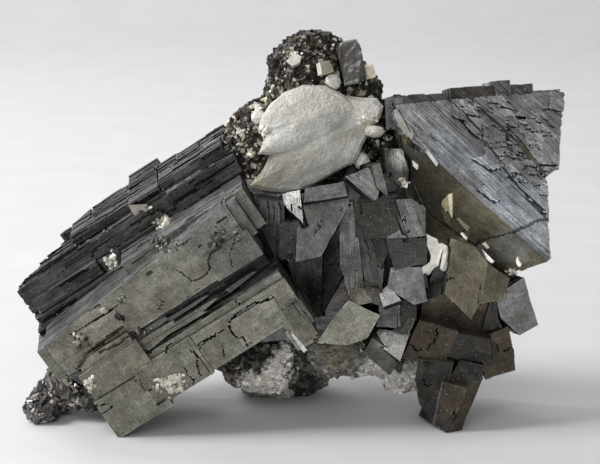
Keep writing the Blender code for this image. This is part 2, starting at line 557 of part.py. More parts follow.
def hidden_collection(name, solids):
    """Puts solids in a collection of helpers that no render shows."""
    collection = bpy.data.collections.new(name)
    bpy.context.scene.collection.children.link(collection)
    for number, bm in enumerate(solids):
        mesh = bpy.data.meshes.new(f"{name}_{number}")
        bmesh.ops.transform(bm, matrix=Matrix.Diagonal((MM, MM, MM, 1.0)), verts=bm.verts)
        bm.to_mesh(mesh)
        bm.free()
        helper = bpy.data.objects.new(mesh.name, mesh)
        helper.hide_render = True
        helper.display_type = "WIRE"
        collection.objects.link(helper)
    return collection


def boolean(obj, operation, collection):
    """Adds a Boolean against a whole collection and applies it."""
    modifier = obj.modifiers.new(operation.lower(), "BOOLEAN")
    modifier.operation = operation
    modifier.operand_type = "COLLECTION"
    modifier.collection = collection
    modifier.use_self = operation == "UNION"
    bpy.context.view_layer.update()
    evaluated = obj.evaluated_get(bpy.context.evaluated_depsgraph_get())
    mesh = bpy.data.meshes.new_from_object(evaluated)
    obj.modifiers.remove(modifier)
    obj.data = mesh


def islands(bm):
    """The separate bodies of a mesh, as lists of vertices."""
    left = set(bm.verts)
    found = []
    while left:
        reached = [left.pop()]
        for vert in reached:
            for edge in vert.link_edges:
                other = edge.other_vert(vert)
                if other in left:
                    left.remove(other)
                    reached.append(other)
        found.append(reached)
    return found


def keep_main_body(obj, flat_within=0.4):
    """Drops crumbs that a cut has split off, and merges triangles that share a crystal face."""
    bm = bmesh.new()
    bm.from_mesh(obj.data)
    bodies = sorted(islands(bm), key=len)
    for crumb in bodies[:-1]:
        bmesh.ops.delete(bm, geom=crumb, context="VERTS")
    bmesh.ops.dissolve_limit(
        bm, angle_limit=math.radians(flat_within), verts=bm.verts, edges=bm.edges, delimit={"NORMAL"}
    )
    bmesh.ops.triangulate(bm, faces=bm.faces)
    bm.to_mesh(obj.data)
    bm.free()


def finish(obj, mineral, smooth=False):
    """Gives a piece its mineral's material and its shading."""
    name, colour, roughness, metallic = mineral
    material = bpy.data.materials.get(name) or bpy.data.materials.new(name)
    material.use_nodes = True
    surface = material.node_tree.nodes["Principled BSDF"]
    surface.inputs["Base Color"].default_value = (*colour, 1.0)
    surface.inputs["Roughness"].default_value = roughness
    surface.inputs["Metallic"].default_value = metallic
    obj.data.materials.clear()
    obj.data.materials.append(material)
    if smooth:
        obj.data.shade_smooth()


def grow_node(name, mineral, solids, cut_by=(), smooth=False, specimen=None):
    """Joins solids that overlap into one piece, then takes away the room of the pieces it grew around."""
    helpers = hidden_collection(f"{name}_blocks", solids)
    seed = helpers.objects[0]
    obj = bpy.data.objects.new(name, seed.data.copy())
    specimen.objects.link(obj)
    bpy.data.objects.remove(seed)
    if helpers.objects:
        boolean(obj, "UNION", helpers)
    for number, neighbour in enumerate(cut_by):
        boolean(obj, "DIFFERENCE", hidden_collection(f"{name}_cut_{number}", neighbour))
    keep_main_body(obj)
    finish(obj, mineral, smooth)
    return obj


def clear_scene():
    for obj in list(bpy.data.objects):
        bpy.data.objects.remove(obj)


def centre_over_origin(objects):
    """Moves all pieces so that the middle of their box, seen from above, is over the origin."""
    corners = [vert.co for obj in objects for vert in obj.data.vertices]
    low = [min(co[i] for co in corners) for i in range(2)]
    high = [max(co[i] for co in corners) for i in range(2)]
    shift = Vector((-(low[0] + high[0]) / 2, -(low[1] + high[1]) / 2, 0.0))
    for obj in objects:
        obj.data.transform(Matrix.Translation(shift))
    return shift


def main():
    clear_scene()
    specimen = bpy.data.collections.new("arsenopyrite")
    bpy.context.scene.collection.children.link(specimen)

    def node(name, mineral, solids, cut_by=(), smooth=False):
        return grow_node(name, mineral, solids, cut_by, smooth, specimen)

    # hardest first: each later piece gives way to those before it, and above the floor
    below_floor = block(Matrix.Identity(4), (-90, 90), (-90, 90), (-30, 0))
    pieces = [
        node("left_crystals", ARSENOPYRITE, left_solids(), [[below_floor]]),
        node("right_crystals", ARSENOPYRITE, right_solids(), [left_solids(GAP)]),
        node("centre_crystals", ARSENOPYRITE, centre_solids(), [left_solids(GAP), right_solids(GAP)]),
    ]

    def crystals():
        return [left_solids(GAP), right_solids(GAP), centre_solids(GAP)]

    pieces.append(node("large_calcite", CALCITE, calcite_solids(), crystals()))
    small = small_calcites()
    for name, solids in small.items():
        pieces.append(node(name, CALCITE, solids, [*crystals(), calcite_solids(GAP)]))
    pieces.append(node("dark_sphalerite", SPHALERITE, dark_crystal_solids()))

    def decorations():
        rounded = [solid for solids in small_calcites(GAP).values() for solid in solids]
        return [calcite_solids(GAP), rounded, dark_crystal_solids(GAP)]

    pieces.append(node("sulphide_lump", SULPHIDE, lump_solids(), [*crystals(), *decorations()]))
    floor = block(Matrix.Identity(4), (-90, 90), (-90, 90), (-30, 0))
    pieces.append(node("left_sphalerite", SPHALERITE, left_lump_solids(), [[floor], *crystals()]))
    pieces.append(node("under_sphalerite", SPHALERITE, under_lump_solids(), crystals()))
    dark = [left_lump_solids(GAP), under_lump_solids(GAP), lump_solids(GAP)]
    floor = block(Matrix.Identity(4), (-90, 90), (-90, 90), (-30, 0))
    pieces.append(node("quartz_matrix", QUARTZ, matrix_solids(), [[floor], *crystals(), *dark]))
    return centre_over_origin(pieces)


SHIFT = main()
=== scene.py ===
# %% [markdown]
# # A hand specimen of arsenopyrite
# Dark metallic crystals, stepped and striated, have grown together with sugary calcite on a lump of
# quartz and sulphide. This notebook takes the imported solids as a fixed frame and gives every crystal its
# growth steps, cracks and tarnish, and every other mineral its own grain.

# %% Load the frame
import math
import random

import bpy
import numpy as np
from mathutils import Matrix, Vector
from mathutils.bvhtree import BVHTree


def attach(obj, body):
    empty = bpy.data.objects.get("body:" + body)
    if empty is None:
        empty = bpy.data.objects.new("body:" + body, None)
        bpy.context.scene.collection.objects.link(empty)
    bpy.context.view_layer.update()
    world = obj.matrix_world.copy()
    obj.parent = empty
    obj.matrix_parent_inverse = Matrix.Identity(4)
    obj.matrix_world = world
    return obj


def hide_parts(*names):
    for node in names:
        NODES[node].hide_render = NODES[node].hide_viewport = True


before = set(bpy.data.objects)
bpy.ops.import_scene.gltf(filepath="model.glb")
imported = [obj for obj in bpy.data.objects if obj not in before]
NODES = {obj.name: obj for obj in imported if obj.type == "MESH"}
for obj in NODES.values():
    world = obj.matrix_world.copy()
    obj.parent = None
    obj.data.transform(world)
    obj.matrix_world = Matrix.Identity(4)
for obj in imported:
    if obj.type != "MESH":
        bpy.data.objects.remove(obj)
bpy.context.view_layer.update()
MM = 0.001
print("nodes:", ", ".join(sorted(NODES)))

# %% [markdown]
# ## Camera
# A specimen this size is best seen from about half a metre through a long lens, so that its upright
# edges stay upright. The camera looks 12 degrees down at a point just above the middle of the specimen.
# An empty to track would do as well, but one rotation worked out from the line of sight leaves nothing
# extra in the scene.

# %% Camera
TARGET = Vector((1.9, -10.8, 39.5)) * MM
CAMERA_DISTANCE = 450 * MM
CAMERA_HEIGHT_ANGLE = math.radians(12)

lens = bpy.data.cameras.new("specimen_camera")
lens.lens = 135
lens.sensor_width = 36
lens.clip_start = 0.01
camera = bpy.data.objects.new("specimen_camera", lens)
bpy.context.scene.collection.objects.link(camera)
away = Vector((0.0, -math.cos(CAMERA_HEIGHT_ANGLE), math.sin(CAMERA_HEIGHT_ANGLE)))
camera.location = TARGET + CAMERA_DISTANCE * away
camera.rotation_euler = (-away).to_track_quat("-Z", "Y").to_euler()
bpy.context.scene.camera = camera
bpy.context.scene.view_settings.view_transform = "Standard"
print("camera at", [round(c / MM) for c in camera.location], "mm")

# %% [markdown]
# ## Helpers for objects
# Operators act on whatever is selected, so each step first deselects everything and picks its own
# object. Small helpers do that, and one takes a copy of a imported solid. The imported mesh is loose
# triangles: the copy's doubles are merged and its coplanar triangles dissolved, so that each crystal
# face is one face again.


# %% Object helpers
def pick(*pieces):
    """Selects these objects alone and makes the first one active."""
    bpy.ops.object.select_all(action="DESELECT")
    for piece in pieces:
        piece.select_set(True)
    bpy.context.view_layer.objects.active = pieces[0]


def joined(first, *others):
    """One object made of several, which keeps the first one's name."""
    pick(first, *others)
    bpy.ops.object.join()
    return first


def edit(piece, mode="FACE", action="DESELECT"):
    """Opens an object for editing with nothing selected, or with all of it."""
    pick(piece)
    bpy.ops.object.mode_set(mode="EDIT")
    bpy.ops.mesh.select_mode(type=mode)
    bpy.ops.mesh.select_all(action=action)


def extrude(move):
    """Extrudes what is selected and moves it, in metres."""
    bpy.ops.mesh.extrude_region_move(TRANSFORM_OT_translate={"value": tuple(move)})


def done():
    bpy.ops.object.mode_set(mode="OBJECT")


# %% Copies of solids
SAME_PLACE = 1e-6  # metres


def solid_copy(node, name, flat_within=1.0):
    """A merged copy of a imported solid, with one face for each flat."""
    piece = bpy.data.objects.new(name, NODES[node].data.copy())
    bpy.context.scene.collection.objects.link(piece)
    piece.data.materials.clear()
    edit(piece, action="SELECT")
    bpy.ops.mesh.remove_doubles(threshold=SAME_PLACE)
    if flat_within:
        bpy.ops.mesh.dissolve_limited(angle_limit=math.radians(flat_within))
    done()
    return piece


def values(elements, name, width, kind=np.float64):
    """One property of all vertices, faces or corners as an array."""
    found = np.empty(len(elements) * width, kind)
    elements.foreach_get(name, found)
    return found.reshape(-1, width) if width > 1 else found


# %% [markdown]
# ## Crystal directions
# Arsenopyrite grows as blocks whose faces carry steps and striations along one direction. Each group
# therefore has its own frame: X runs along the crystals, Y goes into them and Z goes up their front. The
# sheets below are laid along these directions, so that all steps of a group line up as they do on the
# real crystals.


# %% Crystal frames
def crystal_axes(along, facing):
    """Rows X, Y and Z of a crystal's frame."""
    x = np.array(along, float) / np.linalg.norm(along)
    front = np.array(facing, float)
    y = -(front - front.dot(x) * x)
    y /= np.linalg.norm(y)
    return np.array((x, y, np.cross(x, y)))


LEFT_ORIGIN = np.array((-34.5, -21.9, -0.4))
LEFT = crystal_axes((0.842, 0.0, 0.539), (0.068, -0.992, -0.105))
RIGHT_ORIGIN = np.array((20.6, -12.8, 64.9))
RIGHT = crystal_axes((0.743, -0.139, -0.654), (0.283, -0.820, 0.496))
BROWN_FACING = np.array((-0.473, -0.801, -0.367)) / np.linalg.norm((0.473, 0.801, 0.367))
TO_CAMERA = np.array(away)
print("left group runs along", LEFT[0].round(3), "and the right crystal along", RIGHT[0].round(3))

# %% [markdown]
# ## Places as seen from the front
# Cracks, steps and flecks are easiest to place as seen: so many millimetres across and up from the
# middle of the view. A line of sight through such a place meets the plane of a crystal face in one
# point, and that point is where the crack is cut. A crack that runs over several faces is then drawn
# once, and each face takes its share.


# %% Lines of sight
VIEW_RIGHT = np.array((1.0, 0.0, 0.0))
VIEW_UP = np.cross(VIEW_RIGHT, -TO_CAMERA)
VIEW_MIDDLE = np.array(TARGET) / MM
EYE = VIEW_MIDDLE + CAMERA_DISTANCE / MM * TO_CAMERA


def sight_lines(seen):
    """Directions from the camera through places given as millimetres across and up."""
    seen = np.array(seen, float)
    lines = VIEW_MIDDLE + seen[:, :1] * VIEW_RIGHT + seen[:, 1:2] * VIEW_UP - EYE
    return lines / np.linalg.norm(lines, axis=1)[:, None]


def on_plane(seen, point, normal):
    """Where the lines of sight through these places meet a plane."""
    lines = sight_lines(seen)
    return EYE + ((point - EYE) @ normal / (lines @ normal))[:, None] * lines


def surface_tree(piece):
    """A piece's faces, ready for finding where a line of sight meets them."""
    faces = [tuple(face.vertices) for face in piece.data.polygons]
    return BVHTree.FromPolygons([vertex.co for vertex in piece.data.vertices], faces)


def surface_at(seen, trees):
    """The nearest surface seen at a place: the point in millimetres and the way it faces, or nothing."""
    line = Vector(sight_lines([seen])[0])
    hits = [tree.ray_cast(Vector(EYE * MM), line) for tree in trees]
    hits = [hit for hit in hits if hit[0] is not None]
    if not hits:
        return None
    point, normal, _, _ = min(hits, key=lambda hit: hit[3])
    normal = np.array(normal)
    return np.array(point) / MM, normal if normal @ TO_CAMERA > 0 else -normal


SOLIDS = [surface_tree(piece) for piece in NODES.values()]
print("up in the view is", VIEW_UP.round(3))
print("the nearest surface at its middle is", surface_at((0, 0), SOLIDS))

# %% [markdown]
# ## Growth plates
# Seen close, no crystal face is one plane: it is shared out among thin plates, a few tenths of a
# millimetre high, with ragged right-angled borders and hairline cracks between some of them. Sculpting
# would give soft edges, so each face gets a sheet of square cells instead. The cells are shared out
# among plates by cutting the sheet in two again and again, and each plate rises by whole steps.


# %% Sharing a face out among plates
UNEVEN_STAIRS = 0.4  # how far the end of a stretch may shift, in pitches


def stairs(rng, along, pitch):
    """A ragged line: one random offset from -1 to 1 for each stretch of about this pitch."""
    low, high = along.min() - pitch, along.max() + pitch
    count = max(2, int((high - low) / pitch))
    borders = np.linspace(low, high, count) + rng.uniform(-UNEVEN_STAIRS, UNEVEN_STAIRS, count) * pitch
    offsets = rng.uniform(-1.0, 1.0, count + 1)
    return offsets[np.searchsorted(np.sort(borders), along)]


# %% Plates of a sheet
RAGGED = ((1.6, 1.0), (5.0, 0.5))  # how many cells between the offsets of a border, and their share
PLATE_SPREAD = (0.9, 2.0)  # a plate is cut in two until it's smaller than this many usual plates
CUT_BETWEEN = (0.25, 0.75)


def plate_levels(rng, u, v, style):
    """The level of each cell, with 0 in a crack."""
    long, wide = style["plate"]
    ragged_u, ragged_v = (
        across + far * sum(share * stairs(rng, along, pitch * cell) for pitch, share in RAGGED)
        for across, along, far, cell in zip((u, v), (v, u), style["ragged"], style["cell"][::-1])
    )
    flat_u, flat_v = ragged_u.ravel(), ragged_v.ravel()
    level = np.empty(flat_u.size, int)
    plate = np.empty(flat_u.size, int)
    low, high = style["levels"]
    waiting = [np.arange(flat_u.size)]
    count = 0
    while waiting:
        cells = waiting.pop()
        span_u, span_v = np.ptp(flat_u[cells]) / long, np.ptp(flat_v[cells]) / wide
        if max(span_u, span_v) < rng.uniform(*PLATE_SPREAD) or len(cells) < 3:
            level[cells] = rng.integers(low, high + 1)
            plate[cells] = count
            count += 1
            continue
        across = flat_u if span_u > span_v else flat_v
        first, last = across[cells].min(), across[cells].max()
        cut = first + rng.uniform(*CUT_BETWEEN) * (last - first)
        below = across[cells] < cut
        waiting += [part for part in (cells[below], cells[~below]) if len(part)]
    level, plate = level.reshape(u.shape), plate.reshape(u.shape)
    crack_between(level, plate, style["cracks"])
    return level


# %% Hairline cracks
FIRST_PRIME, SECOND_PRIME, LOTS = 7919, 104729, 1009  # they draw lots for pairs of plates


def crack_between(level, plate, share):
    """Opens a hairline along the border of some pairs of neighbouring plates."""
    for axis in (0, 1):
        here = np.take(plate, range(1, plate.shape[axis]), axis)
        before = np.take(plate, range(plate.shape[axis] - 1), axis)
        lot = (np.minimum(here, before) * FIRST_PRIME + np.maximum(here, before) * SECOND_PRIME) % LOTS
        open_here = (here != before) & (lot < share * LOTS)
        target = level[1:, :] if axis == 0 else level[:, 1:]
        target[open_here] = 0


# %% [markdown]
# ## Cutting the sheets to shape
# Every flat of a solid gets a sheet that covers it exactly. The lines of a sheet are spaced unevenly, a
# cell stays if its middle is on the flat, and the points on the rim are pulled onto the flat's outline.
# A plain test of which side of each edge a point lies on is enough, for flats with inward corners too.


# %% Outline tests
def inside_outline(points, outline):
    """Which points lie within an outline: a ray from each crosses it an odd number of times."""
    found = np.zeros(len(points), bool)
    for a, b in zip(outline, np.roll(outline, -1, 0)):
        if a[1] == b[1]:
            continue
        spans = (a[1] > points[:, 1]) != (b[1] > points[:, 1])
        crossing = a[0] + (points[:, 1] - a[1]) * (b[0] - a[0]) / (b[1] - a[1])
        found ^= spans & (points[:, 0] < crossing)
    return found


def nearest_on_outline(points, outline):
    """The closest point of the outline to each point, its distance, and the way into the outline."""
    best = np.full(len(points), np.inf)
    nearest, inward = points.copy(), np.zeros(points.shape)
    for a, b in zip(outline, np.roll(outline, -1, 0)):
        edge = b - a
        length = edge @ edge
        if length == 0:
            continue
        share = np.clip((points - a) @ edge / length, 0, 1)
        spot = a + share[:, None] * edge
        gap = np.linalg.norm(points - spot, axis=1)
        closer = gap < best
        best[closer], nearest[closer] = gap[closer], spot[closer]
        inward[closer] = np.array((-edge[1], edge[0])) / math.sqrt(length)
    return nearest, best, inward


def near_line(u, v, line, width):
    """Which cells lie within half the width of a line of points."""
    found = np.zeros(u.shape, bool)
    for a, b in zip(line, line[1:]):
        a, edge = np.array(a), np.array(b) - np.array(a)
        share = np.clip(((u - a[0]) * edge[0] + (v - a[1]) * edge[1]) / max(edge @ edge, 1e-9), 0, 1)
        found |= np.hypot(u - a[0] - share * edge[0], v - a[1] - share * edge[1]) < width / 2
    return found


# %% [markdown]
# ## How each kind of face has grown
# The fronts of the crystals broke into large plates, the roofs show the narrow edges of growth layers,
# and the striated faces are covered with fine ridges. Each is a style of its own, written as a row of a
# table, so that one function can make them all. Sizes are in millimetres: the cell, the usual plate, how
# far its borders wander, the levels it can have, the height of one step, the level that lies in the
# plane of the solid, the share of borders that are cracked, and the strength of its striations.

# %% Styles of face
STYLE_KEYS = ("cell", "plate", "ragged", "levels", "step", "base", "cracks", "streaks")
STYLE_ROWS = {
    "front": ((0.3, 0.3), (13.0, 9.0), (0.5, 0.4), (4, 5), 0.06, 4, 0.03, 0.12),
    "slab": ((0.3, 0.3), (8.0, 5.0), (0.45, 0.4), (4, 5), 0.07, 4, 0.16, 0.15),
    "roof": ((0.55, 0.24), (5.0, 0.65), (1.9, 0.2), (2, 7), 0.1, 5, 0.07, 0.6),
    "ledges": ((0.55, 0.24), (7.0, 0.75), (1.8, 0.18), (3, 8), 0.12, 6, 0.06, 0.7),
    "striated": ((0.34, 0.24), (14.0, 0.5), (2.4, 0.1), (3, 4), 0.13, 4, 0.0, 1.0),
    "smooth": ((0.3, 0.3), (12.0, 8.0), (0.3, 0.3), (4, 5), 0.04, 4, 0.02, 0.15),
    "small": ((0.4, 0.27), (5.0, 1.1), (0.7, 0.2), (3, 5), 0.07, 4, 0.05, 0.6),
    "crown": ((0.34, 0.24), (6.0, 0.5), (1.0, 0.1), (3, 5), 0.1, 4, 0.0, 1.0),
    "plain": ((0.4, 0.4), (5.0, 3.0), (0.4, 0.4), (3, 5), 0.06, 4, 0.08, 0.16),
    "blocky": ((0.42, 0.42), (5.0, 4.0), (0.35, 0.3), (3, 5), 0.1, 4, 0.10, 0.2),
    "hidden": ((1.0, 0.7), (6.0, 2.4), (0.9, 0.4), (3, 6), 0.12, 5, 0.04, 0.5),
}
STYLES = {name: dict(zip(STYLE_KEYS, row)) for name, row in STYLE_ROWS.items()}
print(len(STYLES), "styles of face")

# %% Edges of a terrace
SHADOW_WIDTH = 0.26  # a dark groove below a terrace edge that faces away from the light, standing in for its shadow, in millimetres
DOWNWARDS, MOSTLY = (0.2, -0.98), 0.45  # the way an edge with a groove for its shadow faces, and how nearly


def lower_edges(corners_seen):
    """The edges of a terrace that face down or right, away from the light, where a dark groove paints its
    shadow.
    """
    corners = np.array(corners_seen)
    middle = corners.mean(0)
    found = []
    for a, b in zip(corners, np.roll(corners, -1, 0)):
        outward = np.array((b[1] - a[1], a[0] - b[0]))
        if outward @ ((a + b) / 2 - middle) < 0:
            outward = -outward
        if outward @ DOWNWARDS > MOSTLY * np.linalg.norm(outward):
            found.append((a, b))
    return found


def longest_edge(outline):
    edges = np.roll(outline, -1, 0) - outline
    return edges[np.argmax(np.linalg.norm(edges, axis=1))]


# %% Sizes and lines of a sheet
SHEET_DEPTH = 0.8  # how far a sheet reaches into its crystal, in millimetres
DEPTH_SHARE = 0.3  # and how far at most, as a share of the flat's width
CORE_INSET = 0.46  # how far the crystal itself shrinks, so that cracks have room below them
MOST_LEVEL = 9
UNEVEN = 0.3  # how far a line of the sheet may shift, in cells
RIM_REACH = 0.9  # how far from the outline a point of the rim is pulled onto it, in cells


def uneven_line(rng, first, last, cell):
    """Where the lines of a sheet lie from one side to the other, about a cell apart."""
    count = max(2, int(round((last - first) / cell)))
    line = np.linspace(first, last, count + 1)
    line[1:-1] += rng.uniform(-UNEVEN, UNEVEN, count - 1) * (last - first) / count
    return line


# %% Terraces and cracks of a sheet
def carved(level, u, v, flat, on_sheet, cracks, steps):
    """The levels with this flat's own terraces, the dark grooves below their edges that stand in for
    shadow, and its cracks.
    """
    cells = np.stack((u.ravel(), v.ravel()), 1)
    low, high = flat.min(0), flat.max(0)
    shadowed = np.zeros(u.shape, bool)
    for corners_seen, rise in steps:
        places = on_sheet(corners_seen)
        if (places.max(0) < low).any() or (places.min(0) > high).any():
            continue
        inside = inside_outline(cells, places).reshape(u.shape)
        level[inside] += rise
        shadowed &= ~inside
        for line_seen in lower_edges(corners_seen):
            shadowed |= near_line(u, v, on_sheet(line_seen), SHADOW_WIDTH)
    level = np.clip(level, 1, MOST_LEVEL) * (level > 0)
    level[shadowed] = 0
    for line_seen, width in cracks:
        level[near_line(u, v, on_sheet(line_seen), width)] = 0
    return np.clip(level, 0, MOST_LEVEL)


# %% The rim of a sheet
def fitted_corners(lines, keep, flat, reach):
    """Corners of cells, those of the rim pulled onto the outline, each with its way into the outline."""
    corners = np.stack(np.meshgrid(*lines, indexing="ij"), -1)
    shape = corners.shape[:2]
    corners = corners.reshape(-1, 2)
    padded = np.pad(keep, 1)
    around = padded[1:, 1:].astype(int) + padded[:-1, 1:] + padded[1:, :-1] + padded[:-1, :-1]
    rim = ((around > 0) & (around < 4)).ravel()
    spot, gap, inward = nearest_on_outline(corners[rim], flat)
    corners[rim] = np.where((gap < reach)[:, None], spot, corners[rim])
    lean = np.zeros(corners.shape)
    lean[rim] = inward
    return np.column_stack((corners, lean)).reshape(*shape, 4)


# %% One whole sheet
def sheet_for(rng, outline, normal, along, origin, style_name, cracks, steps):
    """A sheet over one flat: its frame, which cells stay and their levels. Sizes are millimetres."""
    style = STYLES[style_name]
    middle_of_flat = outline.mean(0)
    t = along - along.dot(normal) * normal
    t /= np.linalg.norm(t)
    s = np.cross(normal, t)
    flat = np.stack(((outline - origin) @ t, (outline - origin) @ s), 1)
    low, high = flat.min(0), flat.max(0)
    lines = [uneven_line(rng, *span) for span in zip(low, high, style["cell"])]
    u, v = np.meshgrid(*((line[1:] + line[:-1]) / 2 for line in lines), indexing="ij")
    keep = inside_outline(np.stack((u.ravel(), v.ravel()), 1), flat).reshape(u.shape)
    if not keep.any():
        return None

    def on_sheet(seen):
        places = on_plane(seen, middle_of_flat, normal) - origin
        return np.stack((places @ t, places @ s), 1)

    level = carved(plate_levels(rng, u, v, style), u, v, flat, on_sheet, cracks, steps)
    level[~keep] = -1
    return dict(
        level=level, corners=fitted_corners(lines, keep, flat, RIM_REACH * max(style["cell"])),
        t=t, s=s, n=normal, origin=origin + normal * (normal @ (middle_of_flat - origin)),
        step=style["step"], base=style["base"], depth=min(SHEET_DEPTH, DEPTH_SHARE * (high - low).min()),
    )


# %% [markdown]
# ## Raising the plates
# All sheets of a piece are laid side by side on one big grid, as pattern pieces are on cloth. Cells that
# belong to none are deleted. The whole is extruded once for its thickness, then once for each level,
# with only the cells that reach that level selected. Last, each sheet is carried onto its flat. One grid
# and ten extrusions make thousands of plates, where a Boolean for each would take minutes.


# %% The workbench grid
WORKBENCH_WIDTH = 640  # cells


def lay_out(sheets):
    """Gives each sheet its place on the grid, in rows, and returns how many cells high the grid is."""
    sheets.sort(key=lambda sheet: -sheet["level"].shape[1])
    x, y, row_height = 0, 0, 0
    for sheet in sheets:
        wide, high = sheet["level"].shape
        if x + wide > WORKBENCH_WIDTH:
            x, y, row_height = 0, y + row_height + 1, 0
        sheet["place"] = (x, y)
        x += wide + 1
        row_height = max(row_height, high)
    return y + row_height


def select_faces(mesh, chosen):
    mesh.vertices.foreach_set("select", np.zeros(len(mesh.vertices), bool))
    mesh.edges.foreach_set("select", np.zeros(len(mesh.edges), bool))
    mesh.polygons.foreach_set("select", chosen)


# %% Raising
def raise_plates(name, sheets):
    """One object with every sheet cut out, thickened, stepped and laid on its flat."""
    wide, high = WORKBENCH_WIDTH, lay_out(sheets)
    levels = np.full((wide, high), -1, int)
    owner = np.zeros((wide + 1, high + 1), int)
    spots = np.zeros((wide + 1, high + 1, 4))
    for number, sheet in enumerate(sheets):
        x, y = sheet["place"]
        cells_x, cells_y = sheet["level"].shape
        levels[x : x + cells_x, y : y + cells_y] = sheet["level"]
        owner[x : x + cells_x + 1, y : y + cells_y + 1] = number
        spots[x : x + cells_x + 1, y : y + cells_y + 1] = sheet["corners"]

    bpy.ops.object.select_all(action="DESELECT")
    bpy.ops.mesh.primitive_grid_add(x_subdivisions=wide, y_subdivisions=high, size=1.0)
    piece = bpy.context.active_object
    piece.name = piece.data.name = name
    piece.scale = (wide, high, 1.0)
    piece.location = (wide / 2, high / 2, 0.0)
    bpy.ops.object.transform_apply(location=True, rotation=False, scale=True)
    mesh = piece.data

    def cells_at(height):
        middle = values(mesh.polygons, "center", 3)
        upward = values(mesh.polygons, "normal", 3)[:, 2] > 0.5
        cell = np.minimum(np.floor(middle[:, :2]).astype(int), (wide - 1, high - 1))
        return levels[cell[:, 0], cell[:, 1]], upward & (np.abs(middle[:, 2] - height) < 0.1)

    level, _ = cells_at(0.0)
    select_faces(mesh, level < 0)
    bpy.ops.object.mode_set(mode="EDIT")
    bpy.ops.mesh.select_mode(type="FACE")
    bpy.ops.mesh.delete(type="FACE")
    done()
    for height in range(MOST_LEVEL + 1):
        level, top = cells_at(float(height))
        chosen = top & (level >= height)
        if not chosen.any():
            break
        select_faces(mesh, chosen)
        bpy.ops.object.mode_set(mode="EDIT")
        extrude((0.0, 0.0, 1.0))
        done()
    lay_on_flats(mesh, sheets, owner, spots)
    return piece


# %% Laying the sheets on their flats
DEEPEST_FLOOR = 0.8  # of the sheet's depth


def lay_on_flats(mesh, sheets, owner, spots):
    """Carries each point from the grid to its flat, and keeps its place on the sheet and its number."""
    flat = values(mesh.vertices, "co", 3)
    cell = np.round(flat[:, :2]).astype(int)
    number = owner[cell[:, 0], cell[:, 1]]
    spot = spots[cell[:, 0], cell[:, 1]]

    def of_sheet(key):
        return np.array([sheet[key] for sheet in sheets])[number]

    # height 0 is the hidden underside; height 1 is the floor of a crack
    height = (flat[:, 2] - 1 - of_sheet("base")) * of_sheet("step")
    under = flat[:, 2] < 0.5
    depth = of_sheet("depth")
    height = np.maximum(height, -DEEPEST_FLOOR * depth)
    height[under] = -depth[under]
    # below the plane of the flat the rim leans in, as a mitre does, so that sheets meet along each edge
    spot = spot[:, :2] + spot[:, 2:] * np.maximum(-height, 0.0)[:, None]
    place = of_sheet("origin") + spot[:, :1] * of_sheet("t") + spot[:, 1:] * of_sheet("s")
    place += height[:, None] * of_sheet("n")
    mesh.vertices.foreach_set("co", (place * MM).ravel())
    mesh.attributes.new("sheet", "INT", "POINT").data.foreach_set("value", number.astype(np.int32))
    on_sheet = mesh.attributes.new("spot", "FLOAT_VECTOR", "POINT")
    on_sheet.data.foreach_set("vector", np.column_stack((spot, height)).ravel())
    mesh.update()


# %% [markdown]
# ## Cracks and steps with places of their own
# Most of the relief is random, but the eye knows the large cracks and the stepped corner of the right
# crystal by their places. Each crack is a line with a width. Each step is a corner of a growth terrace
# that stands a few levels above the face, and the small ones are right-angled corners whose long side
# follows the striations.

# %% Cracks
FRONT_CRACKS = [  # the line as seen, and its width in millimetres
    (((-15.6, -2.8), (-18.0, -4.4), (-18.4, -6.0), (-18.0, -7.2), (-18.8, -8.4), (-20.2, -9.4),
      (-21.6, -9.8)), 0.45),
    (((-21.6, -9.8), (-23.6, -8.2), (-24.8, -7.6)), 0.35),
    (((-25.4, -0.7), (-24.4, -2.8), (-22.9, -2.2), (-21.8, -1.2)), 0.35),
    (((-21.0, -11.8), (-20.2, -11.2)), 0.4),
    (((-28.0, -13.4), (-27.4, -14.0), (-28.4, -15.4)), 0.35),
    (((-44.6, -27.6), (-42.1, -24.0), (-39.0, -21.6), (-35.6, -19.0)), 0.8),
    (((-40.0, -24.0), (-37.6, -23.0), (-36.0, -22.2), (-33.4, -20.0)), 0.6),
    (((-43.0, -16.4), (-41.6, -15.2), (-40.0, -14.6)), 0.4),
    (((-16.4, 2.0), (-14.8, 3.0)), 0.4),
    (((-22.4, -13.6), (-22.0, -13.2)), 0.9),
    (((-30.4, -8.4), (-29.8, -8.0)), 0.8),
    (((-20.2, -2.8), (-19.9, -2.6)), 0.7),
    (((-36.6, -16.8), (-35.6, -17.2)), 1.2),
    (((-46.0, -20.5), (-41.0, -17.6), (-36.5, -14.6)), 0.3),
    (((-33.5, -6.2), (-28.2, -2.6), (-26.6, -2.2)), 0.3),
    (((-12.8, -1.0), (-14.0, -4.4), (-13.6, -7.0)), 0.3),
]
SLAB_CRACKS = [
    (((-40.6, -34.8), (-38.4, -34.4)), 0.35),
    (((-39.8, -36.4), (-37.6, -35.0)), 0.35),
    (((-32.0, -29.6), (-31.4, -31.2), (-30.1, -31.8), (-29.6, -31.2)), 0.35),
    (((-32.6, -27.8), (-30.4, -24.7), (-28.4, -22.6)), 0.4),
    (((-35.0, -27.6), (-32.8, -24.8)), 0.35),
    (((-32.4, -25.8), (-30.0, -22.6), (-28.4, -20.6)), 0.35),
    (((-26.8, -24.2), (-26.6, -22.9), (-25.6, -22.2)), 0.35),
    (((-20.0, -23.2), (-18.8, -21.8), (-17.2, -20.6)), 0.35),
    (((-22.0, -23.6), (-20.4, -24.8), (-20.6, -26.6), (-20.0, -28.6)), 0.4),
    (((-15.6, -22.4), (-15.2, -24.8)), 0.35),
    (((-13.8, -17.6), (-14.2, -18.6), (-13.6, -20.2), (-12.4, -21.2), (-11.4, -21.0), (-10.4, -23.0)), 0.4),
    (((-13.8, -17.4), (-11.4, -15.2), (-8.8, -14.0), (-7.6, -14.2), (-5.4, -13.0)), 0.4),
]
